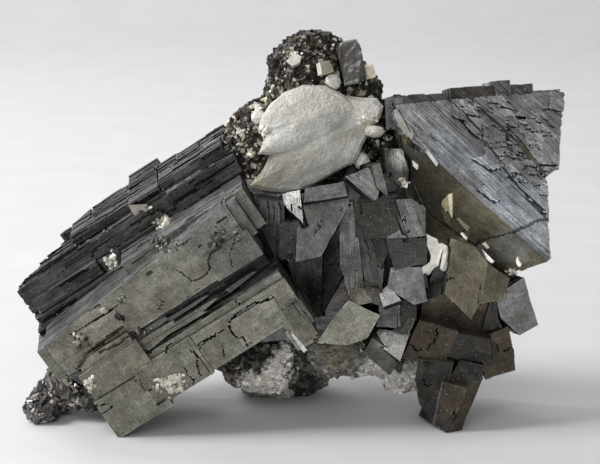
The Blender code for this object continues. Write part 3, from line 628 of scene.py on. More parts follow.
RIGHT_CRACKS = [
    (((28.8, 1.6), (31.2, -0.2), (35.0, -2.6)), 0.9),
    (((35.0, -2.6), (36.6, -1.6), (40.6, -0.6), (44.6, 0.8), (47.8, 2.4), (50.6, 2.8)), 0.42),
    (((42.6, 0.0), (44.6, 0.8), (46.0, 1.5), (47.8, 2.4), (49.2, 2.5), (50.6, 2.8)), 0.8),
    (((18.0, 20.4), (20.0, 19.0), (20.4, 16.2), (21.8, 14.2), (21.8, 11.2), (21.4, 8.2)), 0.9),
    (((21.4, 8.2), (24.8, 5.2), (26.0, 3.4), (28.8, 1.6)), 0.5),
    (((22.8, 20.2), (22.4, 18.0), (22.8, 16.4)), 0.4),
    (((26.2, 19.2), (27.4, 18.2)), 0.5),
    (((29.8, -1.6), (29.6, -5.0), (29.2, -9.6), (28.4, -12.4)), 0.7),
]

# %% Steps
RIGHT_STEPS = [  # the terrace's corners as seen, and how many levels it rises
    (((36.2, 23.2), (40.0, 23.6), (42.0, 22.0), (40.8, 18.8), (41.0, 16.4), (39.4, 14.8), (36.6, 17.8)), 4),
    (((31.8, 24.6), (34.6, 24.8), (34.2, 22.8), (36.4, 23.4), (36.0, 18.4), (34.4, 19.4), (32.0, 22.4)), 4),
    (((36.6, 16.8), (41.0, 16.4), (40.0, 12.8), (38.4, 12.0), (34.0, 14.6), (36.8, 14.8)), 4),
    (((43.6, 21.4), (47.0, 23.0), (51.0, 19.0), (50.6, 14.0), (46.0, 17.6), (45.4, 17.8)), 4),
    (((42.0, 17.6), (45.4, 18.0), (43.0, 14.4), (42.0, 14.8)), 4),
    (((40.0, 12.8), (42.0, 13.8), (43.0, 14.4), (45.0, 13.4), (44.0, 11.4), (41.0, 10.8)), 2),
    (((35.2, 8.4), (36.6, 8.6), (36.8, 10.0), (40.0, 6.4), (39.0, 5.6)), 4),
    (((30.2, 26.2), (30.4, 23.0), (33.2, 21.8), (32.6, 26.4)), 2),
]


STEPPED_PART = ((30.0, 50.0), (4.0, 27.0))  # from where to where the stepped half goes, across and up
RIDGE_SUM, FAR_SUM = 55.0, 75.0  # it lies beyond a line that runs down to the right, as the ridge does
SMALL_STEPS = 90


def corner_steps(rng, count):
    """Small corners of terraces: upright on the left, level below, slanting along the striations."""
    steps = []
    while len(steps) < count:
        x, z = (rng.uniform(*span) for span in STEPPED_PART)
        if x + z < RIDGE_SUM + rng.normal(0.0, 1.6) or x + z > FAR_SUM:
            continue
        size, lean = rng.gamma(3.0, 0.6), rng.uniform(-0.35, 0.1)
        corners = ((x + 0.15 * size, z + size), (x + size * rng.uniform(0.9, 1.6), z + lean * size), (x, z))
        steps.append((corners, rng.integers(1, 4)))
    return steps


RIGHT_STEPS += corner_steps(np.random.default_rng(5), SMALL_STEPS)
print(len(FRONT_CRACKS + SLAB_CRACKS + RIGHT_CRACKS), "cracks and", len(RIGHT_STEPS), "steps")

# %% [markdown]
# ## From sheets to a crystal group
# The solid's copy is drawn in a little and painted near black, which is painted shade at the bottom of the
# cracks, and the sheets are joined to it. Two things are kept for the material on every corner: the place
# on the sheet in millimetres, as a UV map named growth, and the colour of the face, with the strength of
# its striations as alpha. That colour follows the face: partly its own tarnish film, partly a lighter or
# darker grey painted in for how much light the face reflects. A third is one number on each corner: raised
# plates are brighter and hollows darker, as wear and dirt and as painted shade, and walls of the steps that
# face the light are painted bright while the others are painted in shade.


# %% Colours
def linear(hexadecimal):
    """An sRGB colour such as "8c8a84" as linear values."""
    parts = [int(hexadecimal[i : i + 2], 16) / 255 for i in (0, 2, 4)]
    return np.array([p / 12.92 if p <= 0.04045 else ((p + 0.055) / 1.055) ** 2.4 for p in parts])


def opaque(hexadecimal):
    return (*linear(hexadecimal), 1.0)


def paint(mesh, name, colours, domain="POINT"):
    """Gives each point or corner of a mesh a colour and a fourth value."""
    stored = mesh.color_attributes.new(name, "FLOAT_COLOR", domain)
    stored.data.foreach_set("color", np.ravel(colours))


# colours of the faces: olive, brown and bluish tarnish films, and lighter and darker greys painted in for
# how much light each face reflects, as painted light and shade
TARNISH_AND_SHADE = {
    "olive": linear("7b7a70"),  # the fronts of the left group
    "steel": linear("666666"),
    "pale": linear("868785"),
    "blue": linear("8f9193"),
    "slate": linear("535554"),
    "dull": linear("484847"),  # roofs and ledges
    "brown": linear("6e6959"),
    "umber": linear("494239"),
    "dark": linear("3d3c39"),
    "bright": linear("cdccc6"),
}


# %% Crystal groups
LEAST_FLAT = 0.5  # square millimetres
REST_HEIGHT = 0.2  # a flat that lies wholly below this is one to stand on, and gets no sheet
FILM_SPREAD = (0.86, 1.14)  # how much lighter or darker one face's film may be
MERGED_WITHIN = math.radians(0.5)


def grow_crystals(node, name, face_plan, origin, seed):
    """A group of crystals with relief on every flat. face_plan says how each flat has grown."""
    rng = np.random.default_rng(seed)
    core = solid_copy(node, f"{name}_core")
    sheets = []
    for face in core.data.polygons:
        if face.area < LEAST_FLAT * MM * MM:
            continue
        outline = np.array([core.data.vertices[i].co for i in face.vertices]) / MM
        normal = np.array(face.normal)
        if outline[:, 2].max() < REST_HEIGHT:
            continue
        along, style_name, tarnish_and_shade, cracks, steps = face_plan(normal, outline.mean(0), rng, outline)
        sheet = sheet_for(rng, outline, normal, along, origin, style_name, cracks, steps)
        if sheet:
            tint = TARNISH_AND_SHADE[tarnish_and_shade] * rng.uniform(*FILM_SPREAD)
            sheet["tarnish_and_shade"] = np.append(tint, STYLES[style_name]["streaks"])
            sheets.append(sheet)
    relief = raise_plates(f"{name}_relief", sheets)
    edit(relief, action="SELECT")
    bpy.ops.mesh.dissolve_limited(angle_limit=MERGED_WITHIN)
    done()
    edit(core, action="SELECT")
    bpy.ops.transform.shrink_fatten(value=-CORE_INSET * MM, use_even_offset=False)
    done()
    colour_crystals(relief.data, sheets)
    colour_core(core.data)
    joined(relief, core)
    relief.name = relief.data.name = name
    print(name, "has", len(sheets), "sheets and", len(relief.data.polygons), "faces")
    return relief


# %% Wear, dirt and painted light
LIT_FROM = np.array((-0.6, -0.2, 0.77))  # walls that face this way get a painted highlight, the others painted shade
# painted light and shade: a wall that faces the light, a wall turned away, the floor of a crack
WALL_LIT, WALL_SHADED, CRACK_SHADE = 1.1, 0.3, 0.35
WALL_BELOW, LIT_ABOVE = 0.5, 0.25  # how nearly a wall faces as its flat does, and as the light does
FLOOR_SHARE = 0.9  # what is lower than this share of the floor of a crack is crack
BRIGHTER_PER_MM = 1.1
WEAR_AND_SHADE_BETWEEN = (0.45, 1.35)
TERRACE_HEIGHT, TERRACE_CONTRAST, TERRACE_TURN = 0.13, 0.24, 2.1  # each terrace gets a painted tone of its own, as if it caught the light at its own angle
CORE_SHADE = 0.35  # the core shows only at the bottom of cracks, painted dark as their shade


def wear_and_painted_light(mesh, number, height, sheets):
    """For each corner: raised plates are painted brighter and hollows darker, as wear and dirt and as
    painted shade; walls and crack floors get painted light and shade.
    """
    floors = [max(-sheet["base"] * sheet["step"], -DEEPEST_FLOOR * sheet["depth"]) for sheet in sheets]
    flat_normals = np.array([sheet["n"] for sheet in sheets])
    corner_vertex = values(mesh.loops, "vertex_index", 1, np.int32)
    # raised plates brighter, hollows darker: partly wear and dirt, partly painted shade of the relief
    wear_and_shade = np.clip(1.0 + BRIGHTER_PER_MM * height, *WEAR_AND_SHADE_BETWEEN)
    # painted shade on the floor of a crack
    wear_and_shade = wear_and_shade * np.where(height < FLOOR_SHARE * np.array(floors)[number], CRACK_SHADE, 1.0)
    facing = values(mesh.polygons, "normal", 3)
    first = values(mesh.polygons, "loop_start", 1, np.int32)
    corner_count = values(mesh.polygons, "loop_total", 1, np.int32)
    wall = np.abs((facing * flat_normals[number[corner_vertex[first]]]).sum(1)) < WALL_BELOW
    # painted highlight on walls that face the light, painted shade on the others
    shade = np.where(wall, np.where(facing @ LIT_FROM > LIT_ABOVE, WALL_LIT, WALL_SHADED), 1.0)
    # painted light: each terrace a little lighter or darker, as if it caught the light at its own angle
    terrace = np.round(height / TERRACE_HEIGHT)
    tone = np.where(terrace > 0, 1.0 + TERRACE_CONTRAST * np.sin(TERRACE_TURN * terrace), 1.0)
    return (wear_and_shade * tone)[corner_vertex] * np.repeat(shade, corner_count)


# %% What the material reads
def dress(mesh, growth, tarnish_and_shade, wear_and_shade):
    """Stores what the crystals' material reads on every corner."""
    mesh.uv_layers.new(name="growth").data.foreach_set("uv", np.ravel(growth))
    paint(mesh, "tarnish_and_shade", tarnish_and_shade, "CORNER")
    mesh.attributes.new("wear_and_shade", "FLOAT", "CORNER").data.foreach_set("value", wear_and_shade)


def colour_crystals(mesh, sheets):
    corner_vertex = values(mesh.loops, "vertex_index", 1, np.int32)
    number = values(mesh.attributes["sheet"].data, "value", 1, np.int32)
    spot = values(mesh.attributes["spot"].data, "vector", 3, np.float32)
    tarnish_and_shade = np.array([sheet["tarnish_and_shade"] for sheet in sheets])[number]
    wear_and_shade = wear_and_painted_light(mesh, number, spot[:, 2], sheets)
    dress(mesh, spot[corner_vertex, :2], tarnish_and_shade[corner_vertex], wear_and_shade)
    for name in ("sheet", "spot"):
        mesh.attributes.remove(mesh.attributes[name])


def colour_core(mesh):
    where = values(mesh.vertices, "co", 3)[values(mesh.loops, "vertex_index", 1, np.int32)] / MM
    count = len(mesh.loops)
    # painted shade: the core is near black where it shows at the bottom of cracks
    dress(mesh, where[:, [0, 2]], np.tile(opaque("1d1b19"), (count, 1)), np.full(count, CORE_SHADE))


# %% [markdown]
# ## Materials
# One function adds a node, sets it and links it, so each material below reads as a list of what it is
# made of.


# %% Node helper
def node_in(tree, kind, inputs=(), out=0, **settings):
    """Adds a node and returns one of its outputs. Inputs are values or links, in order or by socket."""
    node = tree.nodes.new(f"ShaderNode{kind}")
    for key, value in settings.items():
        setattr(node, key, value)
    for key, value in inputs.items() if isinstance(inputs, dict) else enumerate(inputs):
        if isinstance(value, bpy.types.NodeSocket):
            tree.links.new(value, node.inputs[key])
        else:
            node.inputs[key].default_value = value
    return node.outputs[out]


def material_named(name):
    """A new material, its nodes and its surface shader."""
    material = bpy.data.materials.new(name)
    material.use_nodes = True
    tree = material.node_tree
    tree.nodes.clear()
    output = tree.nodes.new("ShaderNodeOutputMaterial")
    surface = tree.nodes.new("ShaderNodeBsdfPrincipled")
    tree.links.new(surface.outputs[0], output.inputs["Surface"])
    return material, tree, surface


def finish_with(tree, surface, links, fixed):
    """Links what varies over the surface to its shader, and sets there what is the same all over."""
    for socket, source in links.items():
        tree.links.new(source, surface.inputs[socket])
    for socket, value in fixed.items():
        surface.inputs[socket].default_value = value


# %% [markdown]
# ## Arsenopyrite
# Arsenopyrite is a steel-grey metal. Its crystals break bright, and years in air lay a thin film on
# them, olive to bronze on some faces and bluish on others, with brown specks. Some of these face colours
# are also lighter or darker greys painted in for how much light a face reflects. The metal is the surface
# shader's own; the film is a change of colour. Noise drawn out along the crystal gives the striations,
# which are a sixth of a millimetre wide. Patches with soft borders lie round a few places of their own:
# films of tarnish, a bluish band on the striated face that is partly painted sheen, painted shade in the
# depths of the valley, and painted highlights where faces catch the light. Edges get a painted highlight.

# %% Patches of tarnish, painted shade and painted highlights
# middle as seen, radius, colour, strength, and whether only striated faces take it
TARNISH_AND_LIGHT_PATCHES = [
    ((-13.0, 0.5), 10.0, "5c6062", 0.5, False),
    ((-31.0, -2.0), 7.0, "5e6365", 0.4, False),
    ((-22.0, 2.0), 6.0, "5e6365", 0.4, False),
    ((-38.0, -24.0), 9.0, "787060", 0.4, False),
    # on the striated face: a bluish band of tarnish, made lighter as a painted sheen where the face
    # reflects the light
    ((24.0, 21.0), 5.5, "b0b2b4", 0.8, True),
    ((29.5, 16.5), 5.5, "adb1b6", 0.85, True),
    ((35.0, 11.5), 5.5, "a2a6aa", 0.75, True),
    ((42.0, 6.0), 6.0, "b6bcc4", 0.9, True),
    ((47.0, 0.5), 6.0, "bcc1c6", 0.9, True),
    ((38.0, 21.0), 6.0, "7b7c7a", 0.6, True),
    ((45.0, 15.0), 6.0, "8b8c8b", 0.5, True),
    ((32.0, 7.0), 5.0, "676050", 0.45, False),
    ((23.5, 15.0), 3.5, "85837a", 0.5, False),
    ((42.0, -3.0), 5.0, "858789", 0.6, False),
    # painted shade in the depths of the valley
    ((5.4, -3.4), 2.6, "232221", 0.75, False),
    ((2.6, -11.6), 4.2, "262422", 0.7, False),
    ((-6.0, 0.0), 3.6, "2b2b2b", 0.6, False),
    ((8.4, 1.0), 1.8, "232221", 0.6, False),
    ((13.6, 4.4), 3.0, "2e2c28", 0.6, False),
    ((13.0, -10.6), 2.0, "2b2a28", 0.6, False),
    ((11.4, -4.4), 1.6, "3c423d", 0.5, False),
    # painted highlights, on places that catch the light
    ((-1.6, 7.0), 2.2, "9da09a", 0.6, False),
    ((20.2, 15.0), 2.6, "b2b2ae", 0.6, False),
    ((17.0, 17.6), 2.4, "92928e", 0.5, False),
    ((22.4, 1.6), 2.8, "8b8c89", 0.6, False),
    ((13.6, -14.0), 3.0, "77776c", 0.4, False),
    ((8.0, -12.6), 1.8, "8a6f66", 0.35, False),
    ((16.4, -22.4), 2.4, "9b9b96", 0.6, False),
    ((17.2, -25.8), 2.4, "6f6d60", 0.6, False),
]


# %% Laying patches of tarnish and painted light
def patch_middle(seen):
    """The place of a patch, in metres. Where nothing is seen, it lies level with the fronts."""
    found = surface_at(seen, SOLIDS)
    return (found[0] if found else on_plane([seen], LEFT_ORIGIN, TO_CAMERA)[0]) * MM


def with_patches(tree, place, colour, films, full, gone, striated=None):
    """Lays soft patches over a colour, tarnish films, painted shade and painted highlights, each full
    within one share of its radius and gone beyond another.
    """
    for seen, radius, tint, strength, *striated_only in films:
        far = node_in(tree, "VectorMath", (place, patch_middle(seen)), "Value", operation="DISTANCE")
        share = node_in(tree, "MapRange", (far, full * radius * MM, gone * radius * MM, strength, 0.0))
        if any(striated_only):
            share = node_in(tree, "Math", (share, striated), operation="MULTIPLY")
        mix = {"Factor": share, 6: colour, 7: opaque(tint)}
        colour = node_in(tree, "Mix", mix, 2, data_type="RGBA")
    return colour


# %% Arsenopyrite noises
STREAKS = [  # millimetres along and across, detail, then how the noise becomes shade: from, from, to, to
    (9.0, 0.16, 3.0, 0.36, 0.64, 0.6, 1.4),
    (14.0, 0.8, 2.0, 0.33, 0.67, 0.8, 1.2),
    (20.0, 0.4, 1.0, 0.62, 0.68, 1.0, 0.4),
]
CLOUDS = [  # millimetres, detail, and the same four
    (1.6, 6.0, 0.32, 0.68, 0.76, 1.24),
    (0.4, 2.0, 0.32, 0.68, 0.78, 1.22),
    (6.0, 1.0, 0.35, 0.65, 0.8, 1.2),
]
STAINS_AND_GLINTS = [  # millimetres, detail, where in the noise it starts and is full, its strength and colour
    (7.0, 4.0, 0.52, 0.78, 0.35, "5a4e3c"),  # brown clouds
    (0.55, 2.0, 0.68, 0.73, 0.75, "1d1b19"),  # dark specks
    (0.34, 1.0, 0.71, 0.75, 0.7, "b5b3aa"),  # pale specks: dust, and painted glints
]
print(len(STREAKS), "kinds of streak,", len(CLOUDS), "of cloud and", len(STAINS_AND_GLINTS), "of stain")

# %% Arsenopyrite material
def arsenopyrite_material():
    """A steel-grey metal with growth striations, films of tarnish, dark specks, and painted shade and
    highlights.
    """
    material, tree, surface = material_named("tarnished_arsenopyrite")
    growth = node_in(tree, "UVMap", uv_map="growth")
    tarnish_and_shade = node_in(tree, "VertexColor", layer_name="tarnish_and_shade")
    striated = tarnish_and_shade.node.outputs["Alpha"]
    place = node_in(tree, "TexCoord", out="Object")
    only_striated = node_in(tree, "MapRange", (striated, 0.7, 1.0, 0.0, 1.0))
    colour = with_patches(tree, place, tarnish_and_shade, TARNISH_AND_LIGHT_PATCHES, 0.45, 1.15, only_striated)

    streaks, shades = [], []
    for along, across, detail, *ends in STREAKS:
        turned = node_in(tree, "Mapping", {"Vector": growth, "Scale": (1 / along, 1 / across, 1.0)})
        streaks.append(node_in(tree, "TexNoise", {"Vector": turned, "Scale": 1.0, "Detail": detail}))
        shades.append(node_in(tree, "MapRange", (streaks[-1], *ends)))
    shade = shades[0]
    for other in shades[1:]:
        shade = node_in(tree, "Math", (shade, other), operation="MULTIPLY")
    shade = node_in(tree, "Mix", {"Factor": striated, 2: 1.0, 3: shade})

    # each corner's wear and dirt, with its painted light and shade
    shades = [node_in(tree, "Attribute", out="Fac", attribute_name="wear_and_shade")]
    for size, detail, *ends in CLOUDS:
        noise = node_in(tree, "TexNoise", {"Vector": place, "Scale": 1 / (size * MM), "Detail": detail})
        shades.append(node_in(tree, "MapRange", (noise, *ends)))
    # an edge is where the normal of a slightly rounded surface differs from the real one: there the colour
    # is painted up to 1.9 times brighter, a painted highlight along the edges
    rounded = node_in(tree, "Bevel", {"Radius": 0.2 * MM}, samples=4)
    plain = node_in(tree, "NewGeometry", out="Normal")
    likeness = node_in(tree, "VectorMath", (rounded, plain), "Value", operation="DOT_PRODUCT")
    shades.append(node_in(tree, "MapRange", (likeness, 0.98, 0.8, 1.0, 1.9)))
    for other in shades:
        shade = node_in(tree, "Math", (shade, other), operation="MULTIPLY")
    colour = node_in(tree, "VectorMath", {0: colour, "Scale": shade}, operation="SCALE")

    for size, detail, start, full, strength, stain in STAINS_AND_GLINTS:
        noise = node_in(tree, "TexNoise", {"Vector": place, "Scale": 1 / (size * MM), "Detail": detail})
        share = node_in(tree, "MapRange", (noise, start, full, 0.0, strength))
        mix = {"Factor": share, 6: colour, 7: opaque(stain)}
        colour = node_in(tree, "Mix", mix, 2, data_type="RGBA")
    dull = node_in(tree, "MapRange", (streaks[0], 0.3, 0.7, 0.34, 0.56))
    noise = node_in(tree, "TexNoise", {"Vector": place, "Scale": 1 / (0.7 * MM), "Detail": 3.0})
    rough = node_in(tree, "Bump", {"Height": noise, "Distance": 0.1 * MM, "Strength": 0.5})
    relief = node_in(tree, "Math", (streaks[0], striated), operation="MULTIPLY")
    relief = {"Height": relief, "Distance": 0.16 * MM, "Strength": 0.7, "Normal": rough}
    relief = node_in(tree, "Bump", relief)
    varying = {"Base Color": colour, "Roughness": dull, "Normal": relief}
    finish_with(tree, surface, varying, {"Metallic": 0.8})
    return material


ARSENOPYRITE = arsenopyrite_material()
print(ARSENOPYRITE.name, "has", len(ARSENOPYRITE.node_tree.nodes), "nodes and", len(TARNISH_AND_LIGHT_PATCHES), "films")


# %% Crystals in place of their solids
def settle(piece, node, material):
    """Gives a piece its material, and lets it ride with the specimen in place of its solid."""
    piece.data.materials.append(material)
    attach(piece, "root")
    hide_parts(node)


# %% Finishes by place
TURNED_AWAY = 0.05  # a flat that faces the camera less than this isn't seen


def seen_at(places):
    """Where places on the specimen are seen: millimetres across and up from the middle of the view."""
    lines = places - EYE
    on_view = EYE + lines * (CAMERA_DISTANCE / MM / -(lines @ TO_CAMERA))[:, None] - VIEW_MIDDLE
    return np.stack((on_view @ VIEW_RIGHT, on_view @ VIEW_UP), 1)


def finish_there(outline, finishes, style_name, tarnish_and_shade_name):
    """The style and colour of a flat, tarnish and painted shade: those named for a place that is seen on
    it, or the ones given.
    """
    corners = seen_at(outline)
    for seen, its_style, its_tarnish_and_shade in finishes:
        if inside_outline(np.array([seen]), corners)[0]:
            return its_style, its_tarnish_and_shade
    return style_name, tarnish_and_shade_name


# %% [markdown]
# ## The left group
# Three parallel prisms rise to the right. The two in front are smooth olive fronts with hairline cracks,
# and the one behind shows a roof of long ledges, which are the edges of growth layers. So the fronts get
# large plates and the drawn cracks, and the roof gets narrow ones at many levels, both laid along the
# crystals.


# %% Left group
def left_plan(normal, middle, rng, outline):
    """How a flat of the left group has grown: direction, style, colour (tarnish and painted shade), cracks
    and steps.
    """
    x, y, z = LEFT @ normal
    _, depth, height = LEFT @ (middle - LEFT_ORIGIN)
    along = LEFT[0] if abs(x) < 0.8 else LEFT[2]
    if normal @ TO_CAMERA < TURNED_AWAY:
        return along, "hidden", "steel", (), ()
    if y < -0.8 and depth < 4 and height < 11.5:
        return along, "slab", "olive", SLAB_CRACKS, ()
    if y < -0.8 and depth < 8:
        return along, "front", "olive", FRONT_CRACKS, ()
    if z > 0.8 and depth > 15:
        return along, "roof", "dull", (), ()
    if y < -0.8:
        return along, "ledges", "dull", (), ()
    if z > 0.8 and height < 18:
        return along, "ledges", "pale", (), ()
    return along, "small", "steel", (), ()


left = grow_crystals("left_crystals", "left_crystals_grown", left_plan, LEFT_ORIGIN, 11)

# %% [markdown]
# ## Blades in the slot
# The slot between the two front crystals is filled at its lower end by thin blades, and a few bright
# ones stand at the end of the lower crystal. Each is an outline as seen, laid on a plane parallel to the
# fronts and extruded.

# %% Blades
BLADES = [  # outline as seen, how deep its front lies, colour: tarnish and painted shade
    (((-33.6, -20.9), (-27.0, -16.9), (-26.4, -17.3), (-19.6, -13.1), (-18.2, -12.6), (-20.8, -14.6),
      (-26.0, -17.9), (-26.6, -17.7), (-32.6, -21.9)), 2.1, "steel"),
    (((-32.8, -22.2), (-25.4, -17.7), (-24.9, -18.2), (-17.2, -13.4), (-16.4, -13.2), (-19.4, -15.9),
      (-24.0, -18.6), (-24.4, -18.2), (-31.4, -22.9)), 1.2, "olive"),
    (((-31.6, -23.2), (-24.6, -18.7), (-20.0, -16.1), (-18.6, -15.9), (-22.8, -18.5), (-26.0, -20.3),
      (-30.2, -23.7)), 0.7, "olive"),
    (((-15.0, -11.6), (-9.6, -8.0), (-8.6, -7.9), (-14.0, -12.2)), 2.6, "slate"),
    (((-4.2, -14.0), (-0.6, -16.4), (3.4, -21.0), (1.6, -21.8), (-2.0, -19.4), (-4.0, -17.2)), -0.3,
      "pale"),
    (((-1.8, -20.6), (-1.2, -20.4), (1.4, -23.6), (0.8, -24.2)), -0.7, "bright"),
    (((-3.0, -20.0), (-2.6, -19.8), (0.0, -23.2), (-0.4, -23.8)), -0.5, "pale"),
]
print(len(BLADES), "blades")

# %% Making the blades
BLADE_THICKNESS = 2.4
BLADE_STREAKS = 0.25  # how strong a blade's striations are


def plate(name, outline, point, normal, thickness):
    """A thin plate: an outline as seen, laid on a plane and extruded away from the camera."""
    bpy.ops.object.select_all(action="DESELECT")
    bpy.ops.mesh.primitive_circle_add(vertices=len(outline), fill_type="NGON")
    piece = bpy.context.active_object
    piece.name = piece.data.name = name
    piece.data.vertices.foreach_set("co", (on_plane(outline, point, normal) * MM).ravel())
    edit(piece, action="SELECT")
    extrude(-normal * thickness * MM)
    bpy.ops.mesh.select_all(action="SELECT")
    bpy.ops.mesh.normals_make_consistent(inside=False)
    done()
    return piece


def blade(number, outline, depth, tarnish_and_shade_name):
    """A blade of the left group, with the same attributes as its crystals."""
    piece = plate(f"blade_{number}", outline, LEFT_ORIGIN + depth * LEFT[1], -LEFT[1], BLADE_THICKNESS)
    corner_vertex = values(piece.data.loops, "vertex_index", 1, np.int32)
    places = (values(piece.data.vertices, "co", 3) / MM - LEFT_ORIGIN) @ LEFT.T
    colour = np.tile((*TARNISH_AND_SHADE[tarnish_and_shade_name], BLADE_STREAKS), (len(corner_vertex), 1))
    dress(piece.data, places[corner_vertex][:, [0, 2]], colour, np.ones(len(corner_vertex)))
    return piece


blades = [blade(number, *listed) for number, listed in enumerate(BLADES)]
joined(left, *blades)
print("left_crystals_grown has", len(left.data.polygons), "faces with its", len(blades), "blades")
settle(left, "left_crystals", ARSENOPYRITE)

# %% [markdown]
# ## The right crystal and the dark foot
# The large crystal has a ridge that runs down to the right. Above it the face is finely striated,
# parallel to the ridge, and half of it is broken up in right-angled steps. Below it the face is smooth
# and brown. The foot is a heap of dark blocks. One function tells these apart by where a flat looks and
# where it lies.


# %% Right group
RIGHT_FINISHES = [
    ((41.0, -10.0), "plain", "brown"),
    ((33.0, -8.0), "plain", "brown"),
    ((37.0, -13.0), "plain", "brown"),
    ((44.4, -13.8), "plain", "pale"),
    ((42.0, -15.0), "plain", "pale"),
    ((46.4, -12.0), "plain", "pale"),
]
FOOT_TOP = 24.0  # the dark blocks of the foot end at this height
CROWN_BOTTOM = 65.5  # the small blocks on top of the large crystal start at this height


def right_plan(normal, middle, rng, outline):
    """How a flat of the right group has grown."""
    edge = longest_edge(outline)
    if normal @ TO_CAMERA < TURNED_AWAY:
        return edge, "hidden", "steel", (), ()
    if -(RIGHT[1] @ normal) > 0.97 and middle[1] < 0:
        return RIGHT[0], "striated", "blue", RIGHT_CRACKS, RIGHT_STEPS
    if BROWN_FACING @ normal > 0.97:
        return RIGHT[0], "smooth", "brown", RIGHT_CRACKS, ()
    if middle[2] < FOOT_TOP:
        return edge, "blocky", ("dark", "umber")[rng.integers(2)], (), ()
    if middle[2] > CROWN_BOTTOM:
        name = ("dark", "slate", "pale", "steel")[rng.integers(4)]
        return RIGHT[0], "crown", name, (), ()
    name = ("slate", "steel", "brown")[rng.integers(3)]
    style_name, name = finish_there(outline, RIGHT_FINISHES, "plain", name)
    return edge, style_name, name, RIGHT_CRACKS, ()


right = grow_crystals("right_crystals", "right_crystals_grown", right_plan, RIGHT_ORIGIN, 12)
settle(right, "right_crystals", ARSENOPYRITE)

# %% [markdown]
# ## The crystals of the valley
# Between the two groups small crystals stand at all angles, some bright and striated, some dull and
# smooth. Most take a random finish. The ones that catch the eye are named by a place that is seen on
# them.

# %% Finishes in the valley
VALLEY_FINISHES = [
    ((3.0, 1.4), "plain", "slate"),  # wedge
    ((-1.6, 5.0), "small", "pale"),  # bright chip beside it
    ((-6.4, -2.6), "plain", "dark"),
    ((-9.6, -1.0), "small", "slate"),
    ((14.0, 2.6), "plain", "dark"),  # box
    ((22.6, 1.6), "small", "pale"),  # its side
    ((14.6, 9.4), "small", "pale"),  # striated triangle
    ((16.6, 8.6), "small", "pale"),
    ((20.6, 15.6), "small", "dull"),
    ((9.0, -15.4), "plain", "olive"),  # rhomb
    ((18.4, -21.2), "plain", "pale"),  # low block
    ((17.4, -25.6), "plain", "slate"),
    ((0.4, -17.6), "small", "pale"),  # slab at the end of the left group
    ((9.6, -6.0), "small", "steel"),
    ((13.6, -6.4), "small", "slate"),
    ((21.0, -4.0), "plain", "slate"),
    ((20.6, -12.0), "plain", "steel"),
    ((17.6, -12.6), "plain", "pale"),
]

# %% Centre group
def centre_plan(normal, middle, rng, outline):
    """How a flat of the centre group has grown."""
    edge = longest_edge(outline)
    name = ("slate", "dull", "steel", "dark")[rng.integers(4)]
    style_name = ("small", "plain")[rng.integers(2)]
    if normal @ TO_CAMERA < TURNED_AWAY:
        return edge, "hidden", "steel", (), ()
    style_name, name = finish_there(outline, VALLEY_FINISHES, style_name, name)
    return edge, style_name, name, (), ()


centre = grow_crystals("centre_crystals", "centre_crystals_grown", centre_plan, RIGHT_ORIGIN, 13)
settle(centre, "centre_crystals", ARSENOPYRITE)

# %% [markdown]
# ## Broken grains
# The sulphide, the sphalerite and the quartz are heaps of grains half a millimetre across. A grain is a
# cube with two corners cut away, made five times. Each copy is turned, stretched and given a colour of
# its own, and all of a mineral's copies are one mesh. Hair particles would do as well, but copies with
# their own mesh keep their colours.


# %% A grain
GRAIN_CUT = 0.38  # how far from the middle of a cube of 1 its two cuts lie


def grain_template(seed):
    """A broken crystal grain: a cube, pinched and cut by two planes."""
    rng = random.Random(seed)
    bpy.ops.object.select_all(action="DESELECT")
    bpy.ops.mesh.primitive_cube_add(size=1.0)
    piece = bpy.context.active_object
    bpy.ops.object.mode_set(mode="EDIT")
    for _ in range(2):
        bpy.ops.mesh.select_all(action="SELECT")
        direction = Vector((rng.uniform(-1, 1), rng.uniform(-1, 1), rng.uniform(-1, 1))).normalized()
        bpy.ops.mesh.bisect(
            plane_co=direction * GRAIN_CUT, plane_no=direction, clear_outer=True, use_fill=True
        )
    done()
    points = values(piece.data.vertices, "co", 3)
    piece.data.calc_loop_triangles()
    faces = values(piece.data.loop_triangles, "vertices", 3, np.int32)
    bpy.data.objects.remove(piece)
    return points, faces


GRAINS = [grain_template(seed) for seed in range(5)]
print("grains of", [len(faces) for _, faces in GRAINS], "triangles")


# %% Spots for grains
SEEN_SHARE = 3.0  # a spot that faces the camera is so many times as likely as one that doesn't
LEAST_SEEN = -0.1  # how squarely it faces the camera, at least


def surface_spots(piece, count, rng):
    """Random spots on a mesh, evenly by area, with the facing there. Millimetres."""
    mesh = piece.data
    mesh.calc_loop_triangles()
    corners = values(mesh.vertices, "co", 3)[values(mesh.loop_triangles, "vertices", 3, np.int32)] / MM
    normal = np.cross(corners[:, 1] - corners[:, 0], corners[:, 2] - corners[:, 0])
    area = np.linalg.norm(normal, axis=1)
    normal /= np.maximum(area, 1e-12)[:, None]
    area = area * np.where(normal @ TO_CAMERA > LEAST_SEEN, SEEN_SHARE, 1.0)
    which = rng.choice(len(area), count, p=area / area.sum())
    a, b = rng.random((2, count))
    flip = a + b > 1
    a[flip], b[flip] = 1 - a[flip], 1 - b[flip]
    first, second, third = np.moveaxis(corners[which], 1, 0)
    return first + a[:, None] * (second - first) + b[:, None] * (third - first), normal[which]


# %% Scattering
def random_turn(rng):
    axis = rng.normal(size=4)
    w, x, y, z = axis / np.linalg.norm(axis)
    return np.array((
        (1 - 2 * (y * y + z * z), 2 * (x * y - z * w), 2 * (x * z + y * w)),
        (2 * (x * y + z * w), 1 - 2 * (x * x + z * z), 2 * (y * z - x * w)),
        (2 * (x * z - y * w), 2 * (y * z + x * w), 1 - 2 * (x * x + y * y)),
    ))


GRAIN_STRETCH = 0.35


